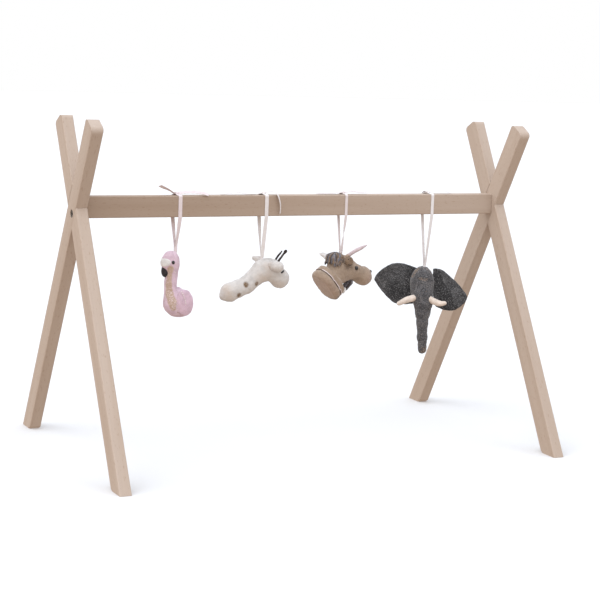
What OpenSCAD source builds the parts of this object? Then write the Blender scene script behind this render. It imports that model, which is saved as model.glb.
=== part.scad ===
// Activity play gym: two half-lapped X frames joined by a crossbar,
// with four felt animal toys that hang from the bar on tied ribbons.
// X runs along the bar, -Y is the front, Z is up. The origin is on the floor under the middle.

/* [Frame] */
// Length over the outer faces of the two X frames
frame_length = 730; // [600:5:900]
// Height of the point where the two legs of an X frame cross
crossing_height = 373; // [330:1:420]
// Lean of each leg from the vertical, in degrees
leg_lean = 29.3; // [25:0.1:34]
// Length of each leg beyond the crossing point
leg_top_length = 143; // [100:1:180]
// Thickness of all the sticks, along the bar for the legs and front to back for the bar
stick_thickness = 18; // [16:1:24]
// Width of all the sticks
stick_width = 32; // [28:1:40]
// Radius of the long edges of the sticks
edge_radius = 1.6; // [0.5:0.1:3]
// Radius of the two corners at the top of each leg
top_corner_radius = 8; // [2:0.5:12]
// Length of the cut along each side of the blunt corner of each foot
heel_cut_length = 5; // [1:0.5:8]

/* [Fittings] */
// Diameter of the furniture bolt's thread
bolt_diameter = 6; // [5:0.5:8]
// Diameter of the bolt's head
bolt_head_diameter = 11.4; // [10:0.1:13]
// Height of the bolt's head
bolt_head_height = 3.2; // [2.5:0.1:4]
// Diameter of the counterbore that hides the head
counterbore_diameter = 12.4; // [12:0.1:14]
// Depth of the counterbore
counterbore_depth = 4.2; // [3.5:0.1:5]
// Distance of the bolt below the crossing, and of the dowel above it
fitting_offset = 10; // [8:0.5:11]
// Diameter of the wooden dowel
dowel_diameter = 6; // [5:0.5:8]

/* [Ribbons] */
// Width of the ribbons
ribbon_width = 6; // [4:0.5:8]
// Thickness of the ribbons
ribbon_thickness = 0.6; // [0.4:0.1:1]

/* [Toys] */
// Place of the flamingo along the bar
flamingo_x = -201.5; // [-215:0.5:-190]
// Place of the giraffe along the bar
giraffe_x = -59.4; // [-62:0.5:-55]
// Place of the gnu along the bar
gnu_x = 77.8; // [75:0.5:82]
// Place of the elephant along the bar
elephant_x = 231.7; // [228:0.5:245]
// Drop from the bar's underside to the flamingo
flamingo_drop = 47; // [40:1:60]
// Drop from the bar's underside to the giraffe
giraffe_drop = 67; // [60:1:80]
// Drop from the bar's underside to the gnu
gnu_drop = 62; // [55:1:75]
// Drop from the bar's underside to the elephant
elephant_drop = 85; // [75:1:95]
// Turn of the gnu about its ribbon, in degrees
gnu_turn = 10; // [0:1:20]
// Turn of the elephant about its ribbon, in degrees
elephant_turn = -26; // [-35:1:-15]

/* [Hidden] */

big = 1000;
slack = 0.3;            // gap between pieces that move past each other
half_length = frame_length / 2;
inner_face = half_length - stick_thickness;
bar_bottom = crossing_height - stick_width / 2;
bar_top = crossing_height + stick_width / 2;
bar_front = stick_thickness / 2;
half_lap = stick_thickness / 2;
insert_diameter = bolt_diameter + 4;
insert_length = 15;
bolt_reach = 13;        // length of thread that stands in the bar's end
dowel_in_bar = 16;
dowel_in_leg = 12;
key_size = 4;           // hex key that fits the bolt
key_depth = 2.2;
ribbon_gap = slack + ribbon_thickness / 2;   // middle of the ribbon off the bar's face

// How far the front strand is ahead of the back one along the bar, for each toy
flamingo_skew = 4.6;
giraffe_skew = 3.7;
gnu_skew = 3.5;
elephant_skew = 6.7;

// Lowest point of the stitched ribbon end, from the hanging point
flamingo_end_low = -4.8;
giraffe_end_low = 1.2;
gnu_end_low = 0.6;
elephant_end_low = 0.4;
end_top = 4.4;          // its highest point, just under the nodding pivot at 4.6
strand_low = 5.4;       // lowest point of the strands
strand_gap = 1.8;       // from the bar's underside down to their highest point

// Ribbon tails: routes from the knot, from the middle of the bar's top face
flamingo_tail_a = [
    [-4.9, 2, 3.6], [-9, 3, 6.4], [-14, 3, 8.8], [-20, 0, 11], [-26, -5, 13.4], [-31, -9, 15.4]
];
flamingo_tail_b = [
    [4.9, 0, 3.6], [10, -1, 4.6], [20, -3, 5.4], [30, -6, 5], [39, -8.5, 3.6], [47, -10, 1.6]
];
giraffe_tail_a = [
    [4.9, 0, 4], [10, -2, 6], [15, -6.4, 5.8], [18.5, -11.4, 1.6], [21.5, -13, -7],
    [23.6, -13, -17], [23.2, -12.8, -28]
];
giraffe_tail_b = [
    [-4.9, 1, 2.8], [-16, 1, 1.6], [-30, 0, 2], [-42, -1, 4.2], [-54, -1, 3.4], [-72, -1, 1.4]
];
gnu_tail_a = [[-4.9, 1, 2.8], [-12, 1, 2.6], [-20, 2, 1.6], [-32, 3, 1.4], [-44, 3.5, 1.4]];
gnu_tail_b = [[4.9, 0, 4], [10, -1, 5.8], [18, -1, 5.2], [28, -2, 4], [40, -2, 5]];
elephant_tail_a = [[4.9, 0, 4], [10, 0, 7.2], [20, 0, 7], [31, -1, 4.8], [41, -2, 2]];
elephant_tail_b = [
    [0, 4.4, 4], [-1, 8.6, 4], [-2.4, 12, -1], [-3.4, 12.2, -10], [-3.6, 12.2, -20],
    [-3, 12, -30]
];

along = [1, 0, 0];
across = [0, 1, 0];

wood = [0.80, 0.69, 0.58];
steel = [0.22, 0.21, 0.20];
pink = [0.85, 0.70, 0.78];
cream = [0.90, 0.86, 0.83];
tan_felt = [0.66, 0.53, 0.43];
charcoal = [0.30, 0.30, 0.31];
ink = [0.08, 0.07, 0.07];
ivory = [0.88, 0.82, 0.77];

// ---------------------------------------------------------------- shared shapes

// A round blob, an egg-shaped blob, and a round limb between two points. A hull of one sphere is a
// plain faceted solid, which keeps the soft shapes light
module blob(p, r, fn = 18) translate(p) hull() sphere(r, $fn = fn);
module egg(p, radii, fn = 22) translate(p) scale(radii) hull() sphere(1, $fn = fn);
module limb(p, rp, q, rq, fn = 18) hull() {
    blob(p, rp, fn);
    blob(q, rq, fn);
}

// Section of a stick with rounded edges, width along Y
module stick_section() {
    a = stick_thickness / 2;
    b = stick_width / 2;
    r = edge_radius;
    square([2 * a - 2 * r, 2 * b], center = true);
    square([2 * a, 2 * b - 2 * r], center = true);
    for (i = [-1, 1], j = [-1, 1]) translate([i * (a - r), j * (b - r)]) circle(r, $fn = 32);
}

// Outline of a leg's top end, seen from the end of the bar
module top_outline() {
    b = stick_width / 2;
    r = top_corner_radius;
    translate([-b, -big]) square([2 * b, big + leg_top_length - r]);
    translate([r - b, -big]) square([2 * b - 2 * r, big + leg_top_length]);
    for (i = [-1, 1]) translate([i * (b - r), leg_top_length - r]) circle(r, $fn = 48);
}

// Places its children in an X frame's own frame: the crossing point, leaning by lean degrees
module at_crossing(lean) translate([half_lap - half_length, 0, crossing_height])
    rotate([lean, 0, 0]) children();

// The other leg's straight body, which the half lap makes room for
module lap_cut(lean, side) at_crossing(lean)
    translate([side > 0 ? 0 : -big, -stick_width / 2, -big / 2]) cube([big, stick_width, big]);

// A leg of the left X frame, from the floor to its rounded top. lean > 0 puts its top at the front
module left_leg(lean, lap_side) difference() {
    at_crossing(lean) intersection() {
        translate([0, 0, -big / 2]) linear_extrude(big) stick_section();
        translate([-stick_thickness, 0, 0]) rotate([90, 0, 90])
            linear_extrude(2 * stick_thickness) top_outline();
    }
    translate([-big, -big, -big]) cube([2 * big, 2 * big, big]);
    lap_cut(-lean, lap_side);
    heel_cut(lean);
    fitting_holes();
}

// The slanted cut across the blunt corner of a foot, on the side that faces the middle
module heel_cut(lean) {
    heel = stick_width / 2 / cos(leg_lean) - crossing_height * tan(leg_lean);
    slope = (90 + leg_lean) / 2;
    rotate([0, 0, lean > 0 ? 180 : 0]) translate([-big, heel, 0]) rotate([-slope, 0, 0])
        translate([0, -heel_cut_length * cos(slope), -big]) cube([2 * big, big, 2 * big]);
}

// Bolt and dowel holes of the left X frame
module fitting_holes() {
    translate([-half_length - 1, 0, crossing_height - fitting_offset]) rotate([0, 90, 0])
        cylinder(h = stick_thickness + 2, d = bolt_diameter + 0.5, $fn = 48);
    translate([-half_length - 1, 0, crossing_height - fitting_offset]) rotate([0, 90, 0])
        cylinder(h = counterbore_depth + 1, d = counterbore_diameter, $fn = 48);
    translate([-inner_face - dowel_in_leg, 0, crossing_height + fitting_offset]) rotate([0, 90, 0])
        cylinder(h = dowel_in_leg + 1, d = dowel_diameter + 0.1, $fn = 48);
}

// The right X frame is the left one turned half round
module right_side() rotate([0, 0, 180]) children();

module bolt() {
    head_face = counterbore_depth - bolt_head_height - half_length;
    tip = bolt_reach - inner_face;
    translate([head_face, 0, crossing_height - fitting_offset]) rotate([0, 90, 0]) difference() {
        union() {
            cylinder(h = bolt_head_height, d = bolt_head_diameter, $fn = 48);
            cylinder(h = tip - head_face, d = bolt_diameter, $fn = 48);
        }
        translate([0, 0, -1]) cylinder(h = key_depth + 1, d = key_size / cos(30), $fn = 6);
    }
}

module insert() translate([-inner_face, 0, crossing_height - fitting_offset]) rotate([0, 90, 0])
    difference() {
        cylinder(h = insert_length, d = insert_diameter, $fn = 48);
        translate([0, 0, -1]) cylinder(h = insert_length + 2, d = bolt_diameter + 0.06, $fn = 48);
    }

module dowel() translate([-inner_face - dowel_in_leg, 0, crossing_height + fitting_offset])
    rotate([0, 90, 0]) cylinder(h = dowel_in_leg + dowel_in_bar, d = dowel_diameter, $fn = 48);

module bar_end_holes() {
    translate([-inner_face - 1, 0, crossing_height - fitting_offset]) rotate([0, 90, 0])
        cylinder(h = insert_length + 1, d = insert_diameter, $fn = 48);
    translate([-inner_face - 1, 0, crossing_height + fitting_offset]) rotate([0, 90, 0])
        cylinder(h = dowel_in_bar + 1, d = dowel_diameter, $fn = 48);
}

// ---------------------------------------------------------------- ribbons

function unit(v) = v / norm(v);

// Point at share t of the smooth curve between points i and i + 1 of a route
function curve_point(r, i, t) =
    let (a = r[max(i - 1, 0)], b = r[i], c = r[i + 1], d = r[min(i + 2, len(r) - 1)])
    0.5 * (2 * b + (c - a) * t + (2 * a - 5 * b + 4 * c - d) * t * t + (3 * b - a - 3 * c + d) * t * t * t);

// All the points of a smooth curve through a route, with steps points for each stretch
function smooth_route(r, steps) = concat(
    [for (i = [0 : len(r) - 2], s = [0 : steps - 1]) curve_point(r, i, s / steps)], [r[len(r) - 1]]);

// The four corners of a flat ribbon's section at point i of a line
function section(p, i, w, thick, width_way) =
    let (t = unit(p[min(i + 1, len(p) - 1)] - p[max(i - 1, 0)]))
    let (n = unit(cross(t, width_way)), y = cross(n, t))
    [for (k = [[-1, -1], [1, -1], [1, 1], [-1, 1]]) p[i] + y * w / 2 * k[0] + n * thick / 2 * k[1]];

// A flat ribbon swept along a line, with its width along width_way
module flat_ribbon(p, width_way) {
    n = len(p);
    points = [for (i = [0 : n - 1]) each section(p, i, ribbon_width, ribbon_thickness, width_way)];
    sides = [for (i = [0 : n - 2], k = [0 : 3])
        [4 * i + k, 4 * i + (k + 1) % 4, 4 * i + 4 + (k + 1) % 4, 4 * i + 4 + k]];
    polyhedron(points, concat(sides, [[3, 2, 1, 0], [4 * n - 4, 4 * n - 3, 4 * n - 2, 4 * n - 1]]));
}

// The stretch of ribbon that lies over the bar: down its front, over its top and down its back
module ribbon_wrap(x, skew, shade) color(shade) {
    y = bar_front + ribbon_gap;
    z = bar_top + ribbon_gap;
    turn = atan(skew / 2 / y);
    for (i = [-1, 1]) translate([x - i * skew / 2, i * y, (bar_bottom + z) / 2])
        cube([ribbon_width, ribbon_thickness, z - bar_bottom + ribbon_thickness], center = true);
    translate([x, 0, z]) rotate([0, 0, turn])
        cube([ribbon_width - 0.4, 2 * y, ribbon_thickness], center = true);
}

module ribbon_knot(x, shade) color(shade) egg([x, 0, bar_top + 3.4], [4.4, 4, 2.4], 16);

module ribbon_tails(x, route_a, way_a, route_b, way_b, shade) color(shade) translate([x, 0, bar_top]) {
    flat_ribbon(smooth_route(route_a, 3), way_a);
    flat_ribbon(smooth_route(route_b, 3), way_b);
}

// Two strands from the bar's lower edges down to the stitched end
module ribbon_strands(x, skew, drop, shade) color(shade) for (i = [-1, 1])
    flat_ribbon([[x - i * skew / 2, i * (bar_front + ribbon_gap), bar_bottom - strand_gap],
        [x, i * 0.8, bar_bottom - drop + strand_low]], along);

// The short stitched end that joins both strands to a toy
module ribbon_end(x, drop, low, shade) color(shade) translate([x, 0, bar_bottom - drop + (end_top + low) / 2])
    cube([ribbon_width - 1, 1.8, end_top - low], center = true);

// Puts a toy, made about its hanging point and looking along +X or -X, under the bar
module hung(x, drop, turn = 0) translate([x, 0, bar_bottom - drop]) rotate([0, 0, turn]) children();

// ---------------------------------------------------------------- flamingo, looking along -X

module flamingo_body_shape() {
    egg([-7, 0, -18.5], [12.6, 11, 14]);
    limb([-4, 0, -27], 10, [-7, 0, -52], 9.4);
    limb([-7, 0, -52], 9.4, [-5, 0, -84], 11.4);
    egg([8, 0, -84], [24, 16, 21.8], 24);
}
module flamingo_wing_shape(side) egg([11.5, side * 14, -81], [14, 5.6, 21], 20);
module flamingo_cheeks_shape() egg([-13.5, 0, -21.5], [8, 8.6, 8.4], 18);
module flamingo_beak_shape() limb([-16.4, 0, -31], 5.8, [-17, 0, -38], 5);

// ---------------------------------------------------------------- giraffe, looking along +X

module giraffe_body_shape() {
    limb([-51.6, 0, -49.4], 14, [-25, 0, -40.5], 12.6);
    blob([-60, 0, -55.4], 7.4, 14);
    limb([-25, 0, -40.5], 12.6, [0, 0, -20], 15);
    egg([11, 0, -16.4], [23, 14, 18], 24);
    hull() {
        blob([22, 0, -20], 14);
        egg([32.8, 0, -31], [14.4, 12, 14.2], 20);
    }
}
module giraffe_ear_shape(side) {
    tip = side < 0 ? [21, -18, -10.2] : [-2, 23, -1];
    limb([11, side * 12, -8], 4.6, tip, side < 0 ? 8 : 4.4, 14);
}
module giraffe_horn_shape(side) {
    limb([28, side * 4, -2.6], 1.6, [38, side * 5, 10.6], 1.6, 12);
    blob([38.8, side * 5, 11.6], 2.3, 12);
}

// ---------------------------------------------------------------- gnu, looking along +X

seam_middle = [-21, 0, -43.5];
seam_tilt = -130;
// The neck and its end pad are taller than they are wide
pad_half_height = 29.5;
pad_half_width = 22;
pad_thickness = 13;
neck_rim = 3;
module at_seam() translate(seam_middle) rotate([0, seam_tilt, 0]) children();
module gnu_head_shape() {
    egg([1, 0, -23.5], [24, 16, 22.5], 24);
    hull() {
        egg([-3, 0, -27], [18, 15, 18], 20);
        for (i = [-1, 1]) at_seam() translate([i * (pad_half_height - pad_half_width), 0, -1])
            cylinder(h = 1, r = pad_half_width - neck_rim, $fn = 24);
    }
    hull() {
        blob([16, 0, -25], 15.4);
        egg([47.5, 0, -37.8], [14, 13.6, 14.8], 20);
    }
}
module gnu_pad_shape() at_seam() hull() for (i = [-1, 1])
    translate([i * (pad_half_height - pad_half_width), 0, 0]) rotate_extrude($fn = 40) {
        square([pad_half_width - pad_thickness / 2, pad_thickness]);
        translate([pad_half_width - pad_thickness / 2, pad_thickness / 2])
            circle(pad_thickness / 2, $fn = 16);
    }
module gnu_horn_shape(side) {
    root = side < 0 ? [0, -9, -6] : [-11, 9, -9];
    middle = side < 0 ? [8, -21, 4.6] : [-15.6, 20, -4.4];
    tip = side < 0 ? [25.4, -33, 16.8] : [-17.4, 31, -2.6];
    limb(root, 4, middle, 3.4, 14);
    limb(middle, 3.4, tip, 1.2, 14);
}
module gnu_ear_shape(side) egg([3, side * 18, -9.6], [7.6, 7.4, 7.4], 16);
module gnu_mane_shape() egg([-12, 0, -8], [14, 14.5, 11], 20);
module gnu_beard_shape() limb([18.6, 0, -46], 6.4, [8, 0, -59], 2.6, 16);

// ---------------------------------------------------------------- elephant, looking along -Y before its turn

// Points of the trunk, with its radius at each
trunk_line = [
    [0, -5, -48, 17], [0, -7, -60, 14.6], [0, -9, -74, 11.6], [0, -10, -91, 9], [1, -10, -115, 7.8],
    [2.3, -9, -135, 7]
];
module elephant_head_shape() {
    egg([-2.6, 2, -29], [20, 19, 28.6], 24);
    for (i = [0 : len(trunk_line) - 2]) {
        a = trunk_line[i];
        b = trunk_line[i + 1];
        limb([a[0], a[1], a[2]], a[3], [b[0], b[1], b[2]], b[3], 18);
    }
}
left_ear_line = [
    [-14, -6], [-38, -1.4], [-56, -3.6], [-75.6, -25], [-63, -44], [-44, -59.6], [-24, -60]
];
right_ear_line = [
    [16, -7], [29, -10], [50, -27], [67, -46], [62.6, -58.6], [51, -66], [38, -67], [26, -62]
];
module elephant_ear_shape(line, tip_way) hull() for (p = line)
    blob([p[0], 3 + tip_way * max(0, abs(p[0]) - 20) / 50, p[1]], 4, 12);
module elephant_tusk_shape(side) {
    root = side < 0 ? [-13, -12, -50.6] : [10, -13, -51];
    middle = side < 0 ? [-28, -18, -53.6] : [24, -20, -56.8];
    tip = side < 0 ? [-41, -22.4, -59] : [34, -23.6, -55.6];
    limb(root, 5, middle, 4.8, 16);
    limb(middle, 4.8, tip, 3, 16);
}

// ---------------------------------------------------------------- sub-parts

// Frame
module left_outer_leg() color(wood) left_leg(leg_lean, 1);
module left_inner_leg() color(wood) left_leg(-leg_lean, -1);
module right_outer_leg() right_side() left_outer_leg();
module right_inner_leg() right_side() left_inner_leg();
module crossbar() color(wood) difference() {
    translate([-inner_face, 0, crossing_height]) rotate([90, 0, 90]) linear_extrude(2 * inner_face)
        stick_section();
    bar_end_holes();
    right_side() bar_end_holes();
}
module left_bolt() color(steel) bolt();
module right_bolt() right_side() left_bolt();
module left_insert() color(steel) insert();
module right_insert() right_side() left_insert();
module left_dowel() color(wood) dowel();
module right_dowel() right_side() left_dowel();

// Ribbons
module flamingo_ribbon_wrap() ribbon_wrap(flamingo_x, flamingo_skew, pink);
module flamingo_ribbon_knot() ribbon_knot(flamingo_x, pink);
module flamingo_ribbon_tails()
    ribbon_tails(flamingo_x, flamingo_tail_a, [0.3, 1, -0.5], flamingo_tail_b, [0, 1, 0.8], pink);
module flamingo_ribbon_strands() ribbon_strands(flamingo_x, flamingo_skew, flamingo_drop, pink);
module flamingo_ribbon_end() ribbon_end(flamingo_x, flamingo_drop, flamingo_end_low, pink);
module giraffe_ribbon_wrap() ribbon_wrap(giraffe_x, giraffe_skew, cream);
module giraffe_ribbon_knot() ribbon_knot(giraffe_x, cream);
module giraffe_ribbon_tails()
    ribbon_tails(giraffe_x, giraffe_tail_a, [0.6, 0.85, 0.2], giraffe_tail_b, across, cream);
module giraffe_ribbon_strands() ribbon_strands(giraffe_x, giraffe_skew, giraffe_drop, cream);
module giraffe_ribbon_end() ribbon_end(giraffe_x, giraffe_drop, giraffe_end_low, cream);
module gnu_ribbon_wrap() ribbon_wrap(gnu_x, gnu_skew, pink);
module gnu_ribbon_knot() ribbon_knot(gnu_x, pink);
module gnu_ribbon_tails() ribbon_tails(gnu_x, gnu_tail_a, across, gnu_tail_b, [0, 1, 0.4], pink);
module gnu_ribbon_strands() ribbon_strands(gnu_x, gnu_skew, gnu_drop, pink);
module gnu_ribbon_end() ribbon_end(gnu_x, gnu_drop, gnu_end_low, pink);
module elephant_ribbon_wrap() ribbon_wrap(elephant_x, elephant_skew, cream);
module elephant_ribbon_knot() ribbon_knot(elephant_x, cream);
module elephant_ribbon_tails()
    ribbon_tails(elephant_x, elephant_tail_a, [0, 1, 0.4], elephant_tail_b, along, cream);
module elephant_ribbon_strands() ribbon_strands(elephant_x, elephant_skew, elephant_drop, cream);
module elephant_ribbon_end() ribbon_end(elephant_x, elephant_drop, elephant_end_low, cream);

// Flamingo
module flamingo_body() color(pink) hung(flamingo_x, flamingo_drop) flamingo_body_shape();
module flamingo_wing(side) color(pink) hung(flamingo_x, flamingo_drop) difference() {
    flamingo_wing_shape(side);
    flamingo_body_shape();
}
module flamingo_left_wing() flamingo_wing(-1);
module flamingo_right_wing() flamingo_wing(1);
module flamingo_cheeks() color(cream) hung(flamingo_x, flamingo_drop) difference() {
    flamingo_cheeks_shape();
    flamingo_body_shape();
}
module flamingo_beak() color(ink) hung(flamingo_x, flamingo_drop) difference() {
    flamingo_beak_shape();
    flamingo_body_shape();
    flamingo_cheeks_shape();
}
module flamingo_eyes() color(ink) hung(flamingo_x, flamingo_drop) difference() {
    for (i = [-1, 1]) blob([-7.4, i * 10.8, -20.5], 2.1, 14);
    flamingo_body_shape();
    flamingo_cheeks_shape();
}

// Giraffe
module giraffe_head_neck() color(cream) hung(giraffe_x, giraffe_drop) giraffe_body_shape();
module giraffe_ear(side) color(cream) hung(giraffe_x, giraffe_drop) difference() {
    giraffe_ear_shape(side);
    giraffe_body_shape();
}
module giraffe_left_ear() giraffe_ear(1);
module giraffe_right_ear() giraffe_ear(-1);
module giraffe_horn(side) color(ink) hung(giraffe_x, giraffe_drop) difference() {
    giraffe_horn_shape(side);
    giraffe_body_shape();
}
module giraffe_left_horn() giraffe_horn(1);
module giraffe_right_horn() giraffe_horn(-1);
module giraffe_eyelids() color(ink) hung(giraffe_x, giraffe_drop) difference() {
    for (i = [-1, 1]) limb([29, i * 12.6, -20.4], 1.1, [34.5, i * 11.8, -17], 1.1, 12);
    giraffe_body_shape();
}

// Gnu
module gnu_head() color(tan_felt) hung(gnu_x, gnu_drop, gnu_turn) difference() {
    gnu_head_shape();
    at_seam() cylinder(h = big, r = big, $fn = 24);
}
module gnu_neck_pad() color(tan_felt) hung(gnu_x, gnu_drop, gnu_turn) difference() {
    gnu_pad_shape();
    at_seam() translate([0, 0, -big]) cylinder(h = big, r = big, $fn = 64);
}
module gnu_trim(shade) color(shade) hung(gnu_x, gnu_drop, gnu_turn) difference() {
    children();
    gnu_head_shape();
}
module gnu_left_horn() gnu_trim(ivory) difference() {
    gnu_horn_shape(1);
    gnu_mane_shape();
}
module gnu_right_horn() gnu_trim(ivory) difference() {
    gnu_horn_shape(-1);
    gnu_mane_shape();
}
module gnu_left_ear() gnu_trim(tan_felt) difference() {
    gnu_ear_shape(1);
    gnu_horn_shape(1);
}
module gnu_right_ear() gnu_trim(tan_felt) difference() {
    gnu_ear_shape(-1);
    gnu_horn_shape(-1);
}
module gnu_mane() gnu_trim([0.44, 0.42, 0.46]) gnu_mane_shape();
module gnu_beard() gnu_trim([0.44, 0.42, 0.46]) gnu_beard_shape();
module gnu_eyes() gnu_trim(ink) for (i = [-1, 1]) blob([22.5, i * 13.4, -22.6], 2.3, 14);

// Elephant
module elephant_head_trunk() color(charcoal)
    hung(elephant_x, elephant_drop, elephant_turn) elephant_head_shape();
module elephant_trim(shade) color(shade) hung(elephant_x, elephant_drop, elephant_turn) difference() {
    children();
    elephant_head_shape();
}
module elephant_left_ear() elephant_trim(charcoal) elephant_ear_shape(left_ear_line, 6);
module elephant_right_ear() elephant_trim(charcoal) elephant_ear_shape(right_ear_line, -6);
module elephant_left_tusk() elephant_trim(ivory) elephant_tusk_shape(-1);
module elephant_right_tusk() elephant_trim(ivory) elephant_tusk_shape(1);

left_outer_leg();
left_inner_leg();
right_outer_leg();
right_inner_leg();
crossbar();
left_bolt();
right_bolt();
left_insert();
right_insert();
left_dowel();
right_dowel();
flamingo_ribbon_wrap();
flamingo_ribbon_knot();
flamingo_ribbon_tails();
flamingo_ribbon_strands();
flamingo_ribbon_end();
giraffe_ribbon_wrap();
giraffe_ribbon_knot();
giraffe_ribbon_tails();
giraffe_ribbon_strands();
giraffe_ribbon_end();
gnu_ribbon_wrap();
gnu_ribbon_knot();
gnu_ribbon_tails();
gnu_ribbon_strands();
gnu_ribbon_end();
elephant_ribbon_wrap();
elephant_ribbon_knot();
elephant_ribbon_tails();
elephant_ribbon_strands();
elephant_ribbon_end();
flamingo_body();
flamingo_left_wing();
flamingo_right_wing();
flamingo_cheeks();
flamingo_beak();
flamingo_eyes();
giraffe_head_neck();
giraffe_left_ear();
giraffe_right_ear();
giraffe_left_horn();
giraffe_right_horn();
giraffe_eyelids();
gnu_head();
gnu_neck_pad();
gnu_left_horn();
gnu_right_horn();
gnu_left_ear();
gnu_right_ear();
gnu_mane();
gnu_beard();
gnu_eyes();
elephant_head_trunk();
elephant_left_ear();
elephant_right_ear();
elephant_left_tusk();
elephant_right_tusk();
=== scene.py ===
"""The looks of the activity play gym: a beech frame with four felt animals on tied ribbons.

Lengths are in metres, and in millimetres where a name or a comment says so. X runs along the bar, -Y is the
front and Z is up. A toy is made about its hanging point, where its ribbon ends, and then put in its place.
"""

import math

import bpy
import numpy as np
from mathutils import Matrix, Vector, noise


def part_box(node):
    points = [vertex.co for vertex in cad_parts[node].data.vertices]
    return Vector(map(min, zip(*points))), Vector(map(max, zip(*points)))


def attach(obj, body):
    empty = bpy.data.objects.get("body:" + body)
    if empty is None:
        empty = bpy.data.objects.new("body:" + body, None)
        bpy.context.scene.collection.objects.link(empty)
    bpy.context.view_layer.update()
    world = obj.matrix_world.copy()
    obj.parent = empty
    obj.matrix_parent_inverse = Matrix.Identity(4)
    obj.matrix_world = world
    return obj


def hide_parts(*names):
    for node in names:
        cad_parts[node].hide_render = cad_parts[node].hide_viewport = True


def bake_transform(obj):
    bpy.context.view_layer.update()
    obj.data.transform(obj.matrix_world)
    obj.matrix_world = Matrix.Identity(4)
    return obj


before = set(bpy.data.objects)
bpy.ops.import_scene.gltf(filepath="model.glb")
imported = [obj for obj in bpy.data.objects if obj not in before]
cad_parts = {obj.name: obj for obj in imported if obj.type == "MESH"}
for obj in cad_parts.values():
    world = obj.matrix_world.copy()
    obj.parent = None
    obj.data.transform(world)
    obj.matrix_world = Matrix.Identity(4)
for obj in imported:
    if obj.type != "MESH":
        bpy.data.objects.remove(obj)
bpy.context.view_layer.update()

MM = 0.001

# ------------------------------------------------------------------ places taken from the frame

bar_low, bar_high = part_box("crossbar")
BAR_TOP = bar_high.z
BAR_BOTTOM = bar_low.z
BAR_FRONT = bar_high.y
RIBBON_WIDTH = 0.006
RIBBON_THICK = 0.0005
RIBBON_LIFT = 0.00055
PIVOT_Z = BAR_BOTTOM - 0.0004

# Each toy: its place on the bar, its drop below the bar, its turn, how far the front strand is ahead of the
# back one, how far each strand is twisted on its way down, front and back, in degrees, and how wide the ribbon
# lies where it is drawn tight
TOYS = {
    "flamingo": {"x": -0.2015, "drop": 0.047, "turn": 0, "skew": 0.0046, "twist": (38, 36),
                 "width": 0.006},
    "giraffe": {"x": -0.0594, "drop": 0.067, "turn": 0, "skew": 0.0037, "twist": (-12, 60),
                "width": 0.006},
    "gnu": {"x": 0.0778, "drop": 0.062, "turn": 10, "skew": 0.0035, "twist": (112, 36),
            "width": 0.0046},
    "elephant": {"x": 0.2317, "drop": 0.085, "turn": -26, "skew": 0.0067, "twist": (26, 22),
                 "width": 0.0052},
}

# Routes of the loose ribbon ends, from the middle of the bar's top face, in millimetres, and the way that
# the ribbon's width lies
TAILS = {
    "flamingo": {
        "a": ([[-0.6, 1, 3], [-4.9, 2, 3.6], [-9, 3, 6.4], [-14, 3, 8.8], [-20, 0, 11], [-26, -5, 13.4],
               [-31, -9, 15.4]], (0.3, 1, -0.5)),
        "b": ([[0.6, 0, 3], [4.9, 0, 3.6], [10, -1, 4.6], [20, -3, 5.4], [30, -6, 5], [39, -8.5, 3.6],
               [47, -10, 1.6]], (0, 1, 0.8)),
    },
    "giraffe": {
        "a": ([[0.6, 0, 3], [4.9, 0, 4], [10, -2, 6], [15, -6.4, 5.8], [18.5, -11.4, 1.6], [21.5, -13, -7],
               [23.6, -13, -17], [23.2, -12.8, -28]], (0.6, 0.85, 0.2)),
        "b": ([[-0.6, 1, 3], [-4.9, 1, 2.8], [-16, 1, 1.6], [-30, 0, 2], [-42, -1, 4.2], [-54, -1, 3.4],
               [-72, -1, 1.4]], (0, 1, 0.12)),
    },
    "gnu": {
        "a": ([[-0.6, 1, 3], [-4.9, 1, 2.8], [-12, 1, 2.6], [-20, 2, 1.6], [-32, 3, 1.4], [-44, 3.5, 1.4]],
              (0, 1, 0)),
        "b": ([[0.6, 0, 3], [4.9, 0, 4], [10, -1, 5.8], [18, -1, 5.2], [28, -2, 4], [40, -2, 5]],
              (0, 1, 0.4)),
    },
    "elephant": {
        "a": ([[0.6, 0, 3], [4.9, 0, 4], [10, 0, 7.2], [20, 0, 7], [31, -1, 4.8], [41, -2, 2]],
              (0, 1, 0.4)),
        "b": ([[0, 1, 3], [0, 4.4, 4], [-1, 8.6, 4], [-2.4, 12, -1], [-3.4, 12.2, -10],
               [-3.6, 12.2, -20], [-3, 12, -30]], (1, 0, 0)),
    },
}


def hang_point(toy):
    return Vector((TOYS[toy]["x"], 0, BAR_BOTTOM - TOYS[toy]["drop"]))


# ------------------------------------------------------------------ camera

TARGET = Vector((0.0098, 0, 0.2239))
DISTANCE = 2.5972
AZIMUTH = math.radians(-26.34)
ELEVATION = math.radians(8.75)
ROLL = math.radians(2.21)
LENS = 99.8


def make_camera():
    data = bpy.data.cameras.new("camera")
    data.lens = LENS
    data.sensor_width = 36
    camera = bpy.data.objects.new("camera", data)
    bpy.context.scene.collection.objects.link(camera)
    level = math.cos(ELEVATION)
    back = Vector((math.sin(AZIMUTH) * level, -math.cos(AZIMUTH) * level, math.sin(ELEVATION)))
    camera.location = TARGET + DISTANCE * back
    turn = (-back).to_track_quat("-Z", "Y").to_matrix().to_4x4()
    camera.rotation_euler = (turn @ Matrix.Rotation(ROLL, 4, "Z")).to_euler()
    bpy.context.scene.camera = camera


make_camera()

# ------------------------------------------------------------------ materials


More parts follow.
